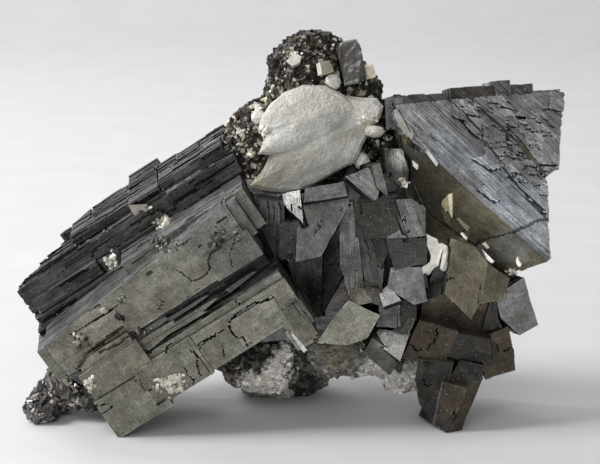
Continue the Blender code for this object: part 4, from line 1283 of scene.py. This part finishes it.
def scatter(name, spots, sizes, colours, rng):
    """Grains of these sizes and colours on these spots, in one mesh. The fourth colour value is polish."""
    points, faces, shades, total = [], [], [], 0
    for spot, size, colour in zip(spots, sizes, colours):
        template, triangles = GRAINS[rng.integers(len(GRAINS))]
        shape = template * (1 + rng.uniform(-GRAIN_STRETCH, GRAIN_STRETCH, 3)) * size
        points.append(shape @ random_turn(rng).T + spot)
        shades.append(np.tile(colour, (len(template), 1)))
        faces.append(triangles + total)
        total += len(template)
    points = np.concatenate(points)
    points[:, 2] = np.maximum(points[:, 2], 0.0)
    mesh = bpy.data.meshes.new(name)
    mesh.from_pydata((points * MM).tolist(), [], np.concatenate(faces).tolist())
    paint(mesh, "grain", np.concatenate(shades))
    piece = bpy.data.objects.new(name, mesh)
    bpy.context.scene.collection.objects.link(piece)
    print(name, "has", len(spots), "grains and", len(mesh.polygons), "faces")
    return piece


def paint_all(piece, colour):
    """Gives a whole mesh one colour and polish."""
    paint(piece.data, "grain", np.tile(colour, (len(piece.data.vertices), 1)))


# %% Choosing colours
LIGHTER_OR_DARKER = 0.15


def chosen_colours(palette, count, rng):
    """Random colours from a palette of (share, colour, polish), each a little lighter or darker."""
    shares = np.array([share for share, _, _ in palette])
    which = rng.choice(len(palette), count, p=shares / shares.sum())
    colours = np.array([linear(colour) for _, colour, _ in palette])[which]
    polish = np.array([polish for _, _, polish in palette])[which]
    lighter = rng.uniform(1 - LIGHTER_OR_DARKER, 1 + LIGHTER_OR_DARKER, (count, 1))
    return np.column_stack((colours * lighter, polish))


# %% [markdown]
# ## A material for grains
# Every mineral of the heap is drawn by the same few steps: the grain's own colour, clouded a little, and
# its polish. A fresh cleavage face is a mirror, a weathered one is dull, so polish lowers the roughness
# grain by grain.


# %% Grain material
def grain_material(name, metallic, ior, dullest, shiniest, cloud_size, painted_glow=0.0):
    """A granular mineral. Cloud size is in millimetres. Glow is emission: painted light that stands in for
    light through a thin flake.
    """
    material, tree, surface = material_named(name)
    place = node_in(tree, "TexCoord", out="Object")
    colour = node_in(tree, "VertexColor", layer_name="grain")
    polish = colour.node.outputs["Alpha"]
    clouds = node_in(tree, "TexNoise", {"Vector": place, "Scale": 1 / (cloud_size * MM), "Detail": 4.0})
    shade = node_in(tree, "MapRange", (clouds, 0.3, 0.7, 0.7, 1.25))
    lit = node_in(tree, "VectorMath", {0: colour, "Scale": shade}, operation="SCALE")
    dull = node_in(tree, "MapRange", (polish, 0.0, 1.0, dullest, shiniest))
    pits = node_in(tree, "TexNoise", {"Vector": place, "Scale": 3.0 / MM, "Detail": 2.0})
    bump = node_in(tree, "Bump", {"Height": pits, "Distance": 0.05 * MM, "Strength": 0.4})
    varying = {"Base Color": lit, "Roughness": dull, "Normal": bump}
    fixed = {"Metallic": metallic}
    if not metallic:
        fixed["IOR"] = ior
    # painted light: the grains glow faintly, as if lit from behind
    if painted_glow:
        varying["Emission Color"] = lit
        fixed["Emission Strength"] = painted_glow
    finish_with(tree, surface, varying, fixed)
    return material


# %% [markdown]
# ## Sulphide
# The lump that stands up at the back is a druse: small dark sulphide crystals with glittering faces,
# brown where they have weathered. About one face in twenty flashes, so a few grains are polished and
# painted pale, a painted glint.

# %% Sulphide druse
SULPHIDE_SINK = 0.25  # how deep a grain sits, as a share of its size
SULPHIDE_COLOURS = [
    (30, "24211d", 0.4),
    (26, "37332d", 0.5),
    (18, "4c473d", 0.5),
    (9, "625b4c", 0.3),
    (10, "171513", 0.7),
    (9, "827a68", 0.5),
    # the two palest, most polished kinds of grain are partly painted glints, faces that flash
    (8, "9c978a", 0.8),
    (5, "c9c6bc", 1.0),
]
SULPHIDE = grain_material("granular_sulphide", 0.55, 1.5, 0.55, 0.12, 1.2)
rng = np.random.default_rng(21)
lump = solid_copy("sulphide_lump", "sulphide_core", 0)
spots, facing = surface_spots(lump, 7600, rng)
sizes = rng.gamma(4.0, 0.15, len(spots)).clip(0.28, 1.35)
spots -= facing * sizes[:, None] * SULPHIDE_SINK
# a bridge of the same grains closes the gap between the lump and the right crystal
BRIDGE_GRAINS = 160
bridge_side = surface_at((14.4, 18.4), SOLIDS)[0] + (0.0, 1.5, 0.0)
bridge = rng.normal((17.0, 18.2), (1.1, 1.6), (BRIDGE_GRAINS, 2))
bridge = on_plane(bridge, bridge_side, np.array((0.0, -1.0, 0.0)))
bridge = bridge + rng.uniform(-1.2, 1.2, (BRIDGE_GRAINS, 3))
spots = np.concatenate((spots, bridge))
sizes = np.append(sizes, rng.uniform(0.7, 1.5, BRIDGE_GRAINS))
colours = chosen_colours(SULPHIDE_COLOURS, len(spots), rng)
druse = scatter("sulphide_druse", spots, sizes, colours, rng)
paint_all(lump, (*linear("1a1815"), 0.2))
joined(druse, lump)
settle(druse, "sulphide_lump", SULPHIDE)

# %% [markdown]
# ## Calcite
# The large calcite is a thick, curved leaf of greyish white. It is sugary: its surface is a crust of
# rhombs a third of a millimetre across, and light goes a little way in. Its solid is divided finely and
# pushed in and out by noise of two sizes, and the crust itself is a fine bump with a little scattering
# below the surface. Soft grey patches paint its shade low down and on its right, paler ones paint light
# higher up, and a few nearly white cells are painted glints.


# %% Calcite material
CALCITE_TINT_AND_SHADE_PATCHES = [  # middle as seen, radius, colour, strength
    # the grey patches, low on the leaf and on its right, are painted shade; the pale ones higher up are
    # painted light; the yellowish one is its own colour
    ((-7.0, 10.8), 5.0, "6f6d62", 0.75),
    ((-2.0, 12.0), 6.0, "6c6a60", 0.75),
    ((5.0, 14.6), 5.0, "77756c", 0.65),
    ((-9.0, 9.2), 2.5, "8d8864", 0.6),
    ((7.0, 22.0), 5.0, "8f8d85", 0.5),
    ((1.0, 20.0), 3.0, "8a8880", 0.5),
    ((-5.0, 21.0), 4.0, "bdbcb6", 0.6),
    ((0.0, 26.5), 5.0, "aeaca4", 0.4),
]


def calcite_material():
    """Greyish white calcite with a sugary crust, painted glints, and patches of painted shade and light."""
    material, tree, surface = material_named("sugary_calcite")
    place = node_in(tree, "TexCoord", out="Object")
    clouds = {"Vector": place, "Scale": 0.16 / MM, "Detail": 6.0, "Roughness": 0.62}
    colour = node_in(tree, "ValToRGB", {"Fac": node_in(tree, "TexNoise", clouds)})
    ends = zip(colour.node.color_ramp.elements, (0.32, 0.7), ("9a988f", "d6d4cd"))
    for element, position, shade in ends:
        element.position, element.color = position, opaque(shade)
    # painted glints: a few cells of a fine pattern are painted nearly white
    painted_glints = node_in(tree, "TexVoronoi", {"Vector": place, "Scale": 5.2 / MM}, "Color")
    painted_glint = node_in(tree, "SeparateColor", {"Color": painted_glints})
    painted_glint = node_in(tree, "MapRange", (painted_glint, 0.88, 0.98, 0.0, 0.55))
    mix = {"Factor": painted_glint, 6: colour, 7: opaque("f0efea")}
    colour = node_in(tree, "Mix", mix, 2, data_type="RGBA")
    sugar = node_in(tree, "TexVoronoi", {"Vector": place, "Scale": 2.6 / MM}, "Distance")
    bump = node_in(tree, "Bump", {"Height": sugar, "Distance": 0.2 * MM, "Strength": 0.5})
    tone = node_in(tree, "SeparateColor", {"Color": sugar.node.outputs["Color"]}, 1)
    tone = node_in(tree, "MapRange", (tone, 0.0, 1.0, 0.84, 1.16))
    colour = node_in(tree, "VectorMath", {0: colour, "Scale": tone}, operation="SCALE")
    colour = with_patches(tree, place, colour, CALCITE_TINT_AND_SHADE_PATCHES, 0.4, 1.2)
    fixed = {
        "Roughness": 0.42, "IOR": 1.6, "Subsurface Weight": 0.15, "Subsurface Scale": 1.0,
        "Subsurface Radius": (1.2 * MM, 1.1 * MM, 1.0 * MM),
    }
    finish_with(tree, surface, {"Base Color": colour, "Normal": bump}, fixed)
    return material


CALCITE = calcite_material()


# %% Roughening
PUSH_MIDDLE = 0.55  # the shade of the noise that moves nothing


def roughened(node, name, cuts, coarse, fine):
    """A copy of a rounded solid, divided and pushed in and out by two sizes of noise. Millimetres."""
    piece = solid_copy(node, name, 0)
    subdivide = piece.modifiers.new("divide", "SUBSURF")
    subdivide.subdivision_type = "SIMPLE"
    subdivide.levels = subdivide.render_levels = cuts
    for size, strength in (coarse, fine):
        texture = bpy.data.textures.new(f"{name}_{size}", "CLOUDS")
        texture.noise_scale = size * MM
        texture.noise_depth = 2
        push = piece.modifiers.new(f"push_{size}", "DISPLACE")
        push.texture = texture
        push.texture_coords = "LOCAL"
        push.strength = strength * MM
        push.mid_level = PUSH_MIDDLE
    pick(piece)
    for modifier in list(piece.modifiers):
        bpy.ops.object.modifier_apply(modifier=modifier.name)
    for vertex in piece.data.vertices:
        vertex.co.z = max(vertex.co.z, 0.0)
    print(name, "has", len(piece.data.polygons), "faces")
    return piece


large = roughened("large_calcite", "large_calcite_sugary", 3, (3.5, 0.6), (0.6, 0.14))
settle(large, "large_calcite", CALCITE)
for node in ("round_calcite", "oval_calcite", "shadowed_calcite", "pale_calcite"):
    piece = roughened(node, f"{node}_sugary", 3, (2.5, 0.4), (0.6, 0.16))
    settle(piece, node, CALCITE)

# %% [markdown]
# ## Sphalerite
# Sphalerite is nearly black here, with a resinous glint on its broken faces and a few pale crumbs of
# quartz. The upright crystal has flat faces, so it is only roughened. The two masses get a coat of large
# broken grains.

# %% Sphalerite
SPHALERITE_SINK = 0.42
SPHALERITE_COLOURS = [
    (34, "1c1917", 0.7),
    (26, "2a2623", 0.6),
    (18, "3b3530", 0.5),
    (10, "504941", 0.4),
    (9, "7d766a", 0.3),
    (8, "b3aea2", 0.4),
]
SPHALERITE = grain_material("resinous_sphalerite", 0.0, 2.0, 0.5, 0.14, 1.5)
rng = np.random.default_rng(22)
upright = roughened("dark_sphalerite", "dark_sphalerite_broken", 4, (3.0, 0.5), (0.8, 0.14))
paint_all(upright, (*linear("2c2823"), 0.6))
settle(upright, "dark_sphalerite", SPHALERITE)
for node, count in (("left_sphalerite", 2600), ("under_sphalerite", 700)):
    core = roughened(node, f"{node}_core", 2, (2.0, 0.8), (0.7, 0.3))
    spots, facing = surface_spots(core, count, rng)
    sizes = rng.gamma(4.0, 0.24, len(spots)).clip(0.35, 2.2)
    spots -= facing * sizes[:, None] * SPHALERITE_SINK
    colours = chosen_colours(SPHALERITE_COLOURS, len(spots), rng)
    piece = scatter(f"{node}_broken", spots, sizes, colours, rng)
    paint_all(core, (*linear("1e1b19"), 0.3))
    joined(piece, core)
    settle(piece, node, SPHALERITE)

# %% [markdown]
# ## The rock below
# The groups grew on vein quartz: white and sugary in places, tan, olive or nearly black in others, where
# other minerals are mixed in. Patches of a few millimetres share a palette, and the grains of a patch
# differ.

# %% Quartz matrix
ROCK_PATCHES = [
    ((-11.6, -24.6), "dark"),
    ((-9.0, -26.0), "dark"),
    ((-14.4, -26.0), "dark"),
    ((-8.6, -29.6), "white"),
    ((-5.0, -28.6), "white"),
    ((-3.4, -31.4), "white"),
    ((-15.4, -29.6), "olive"),
    ((-0.8, -31.0), "dark"),
    ((1.4, -28.6), "dark"),
    ((4.4, -27.4), "grey"),
    ((8.0, -26.0), "tan"),
    ((10.4, -27.4), "grey"),
    ((13.4, -28.4), "white"),
    ((18.6, -31.0), "white"),
    ((15.6, -33.6), "dark"),
    ((-26.0, -30.0), "white"),
    ((22.0, -36.0), "grey"),
]
ROCK_SINK = 0.35
ROCK_COLOURS = {
    "white": [(7, "dedbd2", 0.5), (4, "c6c3b8", 0.3), (3, "efede7", 0.8), (1, "a8a497", 0.2)],
    "olive": [(4, "827d69", 0.3), (3, "9c967f", 0.3), (2, "5f5b4b", 0.3), (2, "b8b3a2", 0.4)],
    "tan": [(4, "8b846f", 0.3), (3, "6f6a58", 0.3), (2, "a8a18c", 0.4), (2, "4d493d", 0.3)],
    "grey": [(4, "7d7b73", 0.4), (3, "5f5d55", 0.3), (2, "a19e94", 0.5), (1, "3a3732", 0.5)],
    "dark": [(5, "2c2926", 0.6), (3, "403c36", 0.5), (2, "5d584e", 0.3), (1, "8c877b", 0.4)],
}
QUARTZ = grain_material("vein_quartz", 0.0, 1.54, 0.6, 0.25, 1.0)
rng = np.random.default_rng(23)
rock = roughened("quartz_matrix", "quartz_core", 2, (4.0, 2.2), (1.0, 0.6))
spots, facing = surface_spots(rock, 7400, rng)
sizes = rng.gamma(3.0, 0.2, len(spots)).clip(0.25, 1.6)
patch_places = np.array([seen for seen, _ in ROCK_PATCHES])
print(len(spots), "grains in", len(ROCK_PATCHES), "patches")


# %% Rock colours
def rock_colours(places):
    """A colour for each place, from the palette of the nearest patch."""
    wandered = seen_at(places) + rng.normal(0.0, 0.8, (len(places), 2))
    nearest = np.argmin(np.linalg.norm(wandered[:, None] - patch_places, axis=2), axis=1)
    colours = np.empty((len(places), 4))
    for number, (_, kind) in enumerate(ROCK_PATCHES):
        here = nearest == number
        colours[here] = chosen_colours(ROCK_COLOURS[kind], here.sum(), rng)
    return colours


colours = rock_colours(spots)
spots -= facing * sizes[:, None] * ROCK_SINK
matrix = scatter("quartz_matrix_broken", spots, sizes, colours, rng)
core_colours = rock_colours(values(rock.data.vertices, "co", 3) / MM) * (0.8, 0.8, 0.8, 1.0)
paint(rock.data, "grain", core_colours)
joined(matrix, rock)
settle(matrix, "quartz_matrix", QUARTZ)

# %% [markdown]
# ## Flecks and flakes
# Crumbs of calcite sit in the hollows, and a few bright flakes catch the light where the metal broke
# fresh; they also glow faintly, a painted light. Each is given by where it is seen. A ray from the camera
# finds the surface there: crumbs are heaped on the spot, and a flake's outline is laid on the plane of the
# surface and extruded to a thin plate.

# %% Finding the surface
DRESSED = [surface_tree(piece) for piece in (left, right, centre, druse, matrix, large)]
print(len(DRESSED), "pieces can carry crumbs and flakes")

# %% Crumbs
CRUMB_HEAPS = [  # where, half width, half height, number
    ((-27.4, 2.0), 1.3, 1.0, 34),
    ((-37.6, -6.0), 0.9, 1.4, 34),
    ((-39.2, -15.6), 0.6, 0.4, 10),
    ((-25.8, -30.2), 2.2, 1.8, 110),
    ((-53.6, -20.6), 0.7, 0.8, 8),
    ((42.8, -8.2), 1.5, 0.8, 30),
    ((-8.6, 24.4), 0.8, 1.4, 22),
    ((-7.4, 20.6), 0.7, 0.8, 10),
    ((-11.4, 19.6), 0.9, 0.7, 12),
    ((-9.6, 15.4), 0.7, 0.9, 10),
    ((13.4, 22.0), 1.8, 0.9, 26),
    ((15.4, 17.4), 1.0, 0.8, 12),
    ((13.0, 31.6), 0.9, 1.0, 16),
    ((20.8, 9.6), 0.8, 0.9, 12),
    ((-1.6, 35.8), 1.0, 0.8, 10),
    ((46.4, -24.0), 0.6, 1.2, 12),
    ((-42.2, -30.6), 1.2, 1.6, 18),
]
PIT_HEAPS = [  # small rough hollows on the smooth fronts, drawn as dark grains for their painted shade and pale polished ones for painted glints
    ((-27.6, -2.6), 2.6, 1.6, 60),
    ((-31.4, -19.8), 1.4, 0.8, 26),
    ((-44.0, -21.6), 1.6, 2.0, 40),
    ((-35.6, -13.6), 1.0, 0.6, 16),
    ((-31.6, 4.4), 2.4, 0.9, 22),
    ((-16.4, -0.8), 1.6, 2.0, 54),
    ((-12.6, -0.6), 0.5, 1.2, 14),
]
CRUMB_COLOURS = [(5, "d6d3c9", 0.5), (3, "b9b6aa", 0.3), (2, "a39d8a", 0.3), (1, "efede6", 0.9)]
# pits: the dark grains are painted shade of the hollows, the pale polished ones painted glints
PIT_SHADE_AND_GLINT_COLOURS = [(6, "2e2c28", 0.8), (5, "4b4942", 0.7), (3, "85827a", 0.7), (2, "cdcbc4", 1.0)]
rng = np.random.default_rng(24)
print(len(CRUMB_HEAPS), "heaps of crumbs and", len(PIT_HEAPS), "of pits")

# %% Heaping
CRUMB_RISE = 0.1
CRUMB_SPREAD, PIT_SPREAD = 0.55, 0.5  # of the half width and half height of a heap


def heap_spots(heaps, spread):
    """Spots on the surface, gathered round each heap's middle."""
    spots = []
    for (across, up), half_width, half_height, number in heaps:
        for dx, dz in rng.normal(0.0, spread, (number, 2)):
            found = surface_at((across + dx * half_width, up + dz * half_height), DRESSED)
            if found:
                spots.append(found[0] + CRUMB_RISE * found[1])
    return spots


crumb_spots, pit_spots = heap_spots(CRUMB_HEAPS, CRUMB_SPREAD), heap_spots(PIT_HEAPS, PIT_SPREAD)
crumb_sizes = rng.gamma(4.0, 0.13, len(crumb_spots)).clip(0.25, 1.1)
pit_sizes = rng.gamma(4.0, 0.1, len(pit_spots)).clip(0.2, 0.8)
crumb_colours = chosen_colours(CRUMB_COLOURS, len(crumb_spots), rng)
pit_colours = chosen_colours(PIT_SHADE_AND_GLINT_COLOURS, len(pit_spots), rng)
colours = np.concatenate((crumb_colours, pit_colours))
crumbs = scatter("calcite_crumbs", crumb_spots + pit_spots, np.append(crumb_sizes, pit_sizes), colours, rng)
crumbs.data.materials.append(grain_material("crumbly_calcite", 0.0, 1.6, 0.6, 0.2, 0.8))
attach(crumbs, "root")

# %% Flakes
FLAKES = [  # outline as seen, colour, how far it stands out
    (((24.8, -1.0), (25.6, 0.2), (26.6, -0.2), (27.4, -1.2), (27.6, -2.4), (28.4, -2.2), (29.4, -2.8),
      (29.4, -4.0), (29.0, -6.0), (28.6, -7.2), (28.0, -7.4), (28.6, -4.0), (28.2, -3.4), (27.4, -5.2),
      (27.2, -6.2), (26.2, -6.8), (25.4, -8.0), (24.2, -8.4), (23.8, -7.6), (24.8, -6.8), (26.0, -6.0),
      (26.2, -4.8), (25.8, -3.6), (25.4, -2.6), (24.8, -1.8)), "fffdf4", 0.5),
    (((28.3, 5.6), (28.5, 6.4), (29.0, 6.7), (29.5, 7.4), (30.2, 7.6), (30.2, 4.6), (30.0, 3.6),
      (29.5, 4.3), (29.1, 3.9), (28.9, 4.6), (28.5, 4.9)), "9d9677", 0.22),
    (((29.7, 7.3), (30.3, 7.6), (30.4, 5.0), (30.3, 2.8), (30.0, 3.6), (29.9, 5.0), (29.6, 6.1)),
      "d9d2b3", 0.34),
    (((28.3, 4.5), (28.8, 4.3), (29.3, 3.6), (29.9, 3.4), (30.0, 2.2), (29.6, 1.5), (28.9, 2.4)),
      "575240", 0.12),
    (((31.3, 2.6), (31.6, 2.8), (32.6, 1.9), (33.9, 0.8), (33.5, 0.1), (32.4, 1.2)), "7d7a6b", 0.25),
    (((32.1, -0.4), (32.4, -0.3), (33.2, -1.1), (34.1, -2.1), (33.9, -2.3), (32.8, -1.2)), "f0eee6",
      0.3),
    (((35.4, -3.4), (36.0, -3.0), (38.8, -5.8), (38.2, -6.2)), "e9e7dd", 0.3),
    (((36.4, -2.4), (37.0, -2.2), (37.8, -3.2), (37.4, -3.4)), "c9c6b9", 0.25),
    (((22.4, 14.2), (23.6, 13.2), (23.4, 12.4), (22.6, 13.2)), "e4e1d6", 0.25),
    (((20.6, 10.4), (21.6, 9.8), (21.4, 8.8), (20.4, 9.2)), "eceae2", 0.3),
    (((19.0, 24.6), (19.4, 24.4), (22.8, 19.8), (22.4, 18.4), (20.0, 21.4), (19.0, 23.4)), "8c8c86",
      0.2),
    (((22.8, 19.0), (23.6, 19.2), (27.6, 13.8), (27.2, 13.2)), "9a9b98", 0.2),
    (((43.3, -5.3), (43.5, -5.1), (43.6, -5.8), (44.2, -6.6), (44.0, -7.0), (43.5, -6.8), (43.2, -6.0)),
      "f2f0e8", 0.4),
    (((-34.4, 5.4), (-30.6, 5.6), (-30.2, 3.4), (-33.0, 3.0)), "5f5c53", 0.15),
    (((-2.8, 34.2), (-1.0, 35.8), (0.2, 35.2), (0.0, 34.0), (-1.6, 33.2)), "8f8d85", 0.4),
    (((4.0, 34.0), (6.4, 34.4), (6.8, 32.0), (4.4, 31.6)), "948f80", 0.5),
    (((12.0, 32.8), (14.0, 33.2), (14.8, 30.8), (13.0, 30.4)), "cdc8b3", 0.5),
    (((19.6, 16.2), (20.8, 15.0), (20.8, 14.0), (19.2, 15.6)), "a9a79f", 0.3),
]
print(len(FLAKES), "flakes")

# %% Laying the flakes
TOWARDS_LIGHT = np.array((-0.217, -0.911, 0.35))  # between the eye and the light, where a cleavage flashes
TURNED_TO_LIGHT = (0,)
STANDING_OUT = 2.4  # the large flake stands this far in front of what is behind its middle
FLAKE_BITE = 0.5  # how far a flake reaches into the surface that carries it
LEAST_FACING = 0.45  # a flake on a surface that is seen more from the side is turned to the light


def flake(number, outline, rise):
    """A thin plate with this outline as seen, lying on the surface below its middle."""
    point, normal = surface_at(np.mean(outline, axis=0), DRESSED) or surface_at(outline[0], DRESSED)
    reach = FLAKE_BITE
    if number in TURNED_TO_LIGHT:
        point, reach = point + STANDING_OUT * TO_CAMERA, reach + STANDING_OUT
    if normal @ TO_CAMERA < LEAST_FACING or number in TURNED_TO_LIGHT:
        normal = TOWARDS_LIGHT
    return plate(f"flake_{number}", outline, point + rise * normal, normal, rise + reach)


flakes = []
for number, (outline, colour, rise) in enumerate(FLAKES):
    piece = flake(number, outline, rise)
    paint_all(piece, (*linear(colour), 0.5))
    flakes.append(piece)
bright = joined(*flakes)
bright.name = bright.data.name = "bright_flakes"
bright.data.materials.append(grain_material("fresh_cleavage_painted_glow", 0.0, 1.7, 0.5, 0.25, 1.0, painted_glow=0.3))
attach(bright, "root")
print("bright_flakes has", len(bright.data.polygons), "faces")


# %% [markdown]
# ## Stage
# A long sheet of matt paper lies under the specimen and curves up behind it, so that no corner shows. A
# plane is extruded backwards and upwards, edge by edge, through a quarter of a turn.

# %% Stage
SWEEP_RADIUS, SWEEP_STEPS, SWEEP_HEIGHT = 0.4, 12, 1.2


def stage():
    """A pale sheet that lies flat under the specimen and curves up behind it."""
    bpy.ops.object.select_all(action="DESELECT")
    bpy.ops.mesh.primitive_plane_add(size=1.0, location=(0.0, -0.2, 0.0))
    sheet = bpy.context.active_object
    sheet.name = sheet.data.name = "paper_sweep"
    sheet.scale = (3.0, 1.6, 1.0)
    bpy.ops.object.transform_apply(location=True, rotation=False, scale=True)
    back = max(vertex.co.y for vertex in sheet.data.vertices)
    edit(sheet, "EDGE")
    done()
    for edge in sheet.data.edges:
        edge.select = all(sheet.data.vertices[i].co.y > back - SAME_PLACE for i in edge.vertices)
    bpy.ops.object.mode_set(mode="EDIT")
    for step in range(SWEEP_STEPS):
        a, b = (math.pi / 2 * i / SWEEP_STEPS for i in (step, step + 1))
        rise = math.cos(a) - math.cos(b)
        extrude((0.0, SWEEP_RADIUS * (math.sin(b) - math.sin(a)), SWEEP_RADIUS * rise))
    extrude((0.0, 0.0, SWEEP_HEIGHT))
    done()
    sheet.data.shade_smooth()
    material, tree, surface = material_named("matte_paper")
    place = node_in(tree, "TexCoord", out="Object")
    fibres = node_in(tree, "TexNoise", {"Vector": place, "Scale": 60.0, "Detail": 4.0})
    shade = node_in(tree, "ValToRGB", {"Fac": fibres})
    for element, colour in zip(shade.node.color_ramp.elements, ("c8c8c9", "d4d4d5")):
        element.color = opaque(colour)
    finish_with(tree, surface, {"Base Color": shade}, {"Roughness": 0.8})
    sheet.data.materials.append(material)
    print("The sheet has", len(sheet.data.polygons), "faces")


stage()

# %% [markdown]
# ## Lights
# Steel-grey faces show mostly what they reflect, so each light is a large soft panel. The main one stands
# high on the left and gives the striated faces their sheen, a weak one behind lifts the top edges, a wide
# one in front opens the shadows, and one more washes the paper at the upper left.

# %% Lights
def soft_light(name, place, aim, size, power):
    """A panel that gives an even, white light. Metres and watts."""
    light = bpy.data.lights.new(name, "AREA")
    light.shape = "RECTANGLE"
    light.size, light.size_y = size
    light.energy = power
    lamp = bpy.data.objects.new(name, light)
    bpy.context.scene.collection.objects.link(lamp)
    lamp.location = place
    lamp.rotation_euler = (Vector(aim) - Vector(place)).to_track_quat("-Z", "Y").to_euler()


LIGHTS = [  # name, place, what it is aimed at, width and height, watts
    ("key_softbox", (-0.55, -0.12, 0.5), (0.0, 0.0, 0.03), (0.3, 0.3), 5.3),
    ("rear_softbox", (-0.2, 0.42, 0.5), (0.0, 0.0, 0.03), (0.3, 0.3), 0.8),
    ("front_fill", (-0.1, -0.9, 0.55), (0.0, 0.0, 0.04), (0.7, 0.5), 3.0),
    ("backdrop_light", (-0.62, 0.5, 1.15), (-0.5, 1.0, 0.8), (0.5, 0.3), 7.6),
]
for light in LIGHTS:
    soft_light(*light)
world = bpy.data.worlds.new("studio")
bpy.context.scene.world = world
world.use_nodes = True
world.node_tree.nodes["Background"].inputs["Color"].default_value = (0.8, 0.8, 0.8, 1.0)
world.node_tree.nodes["Background"].inputs["Strength"].default_value = 0.48
print(len(LIGHTS), "lights")
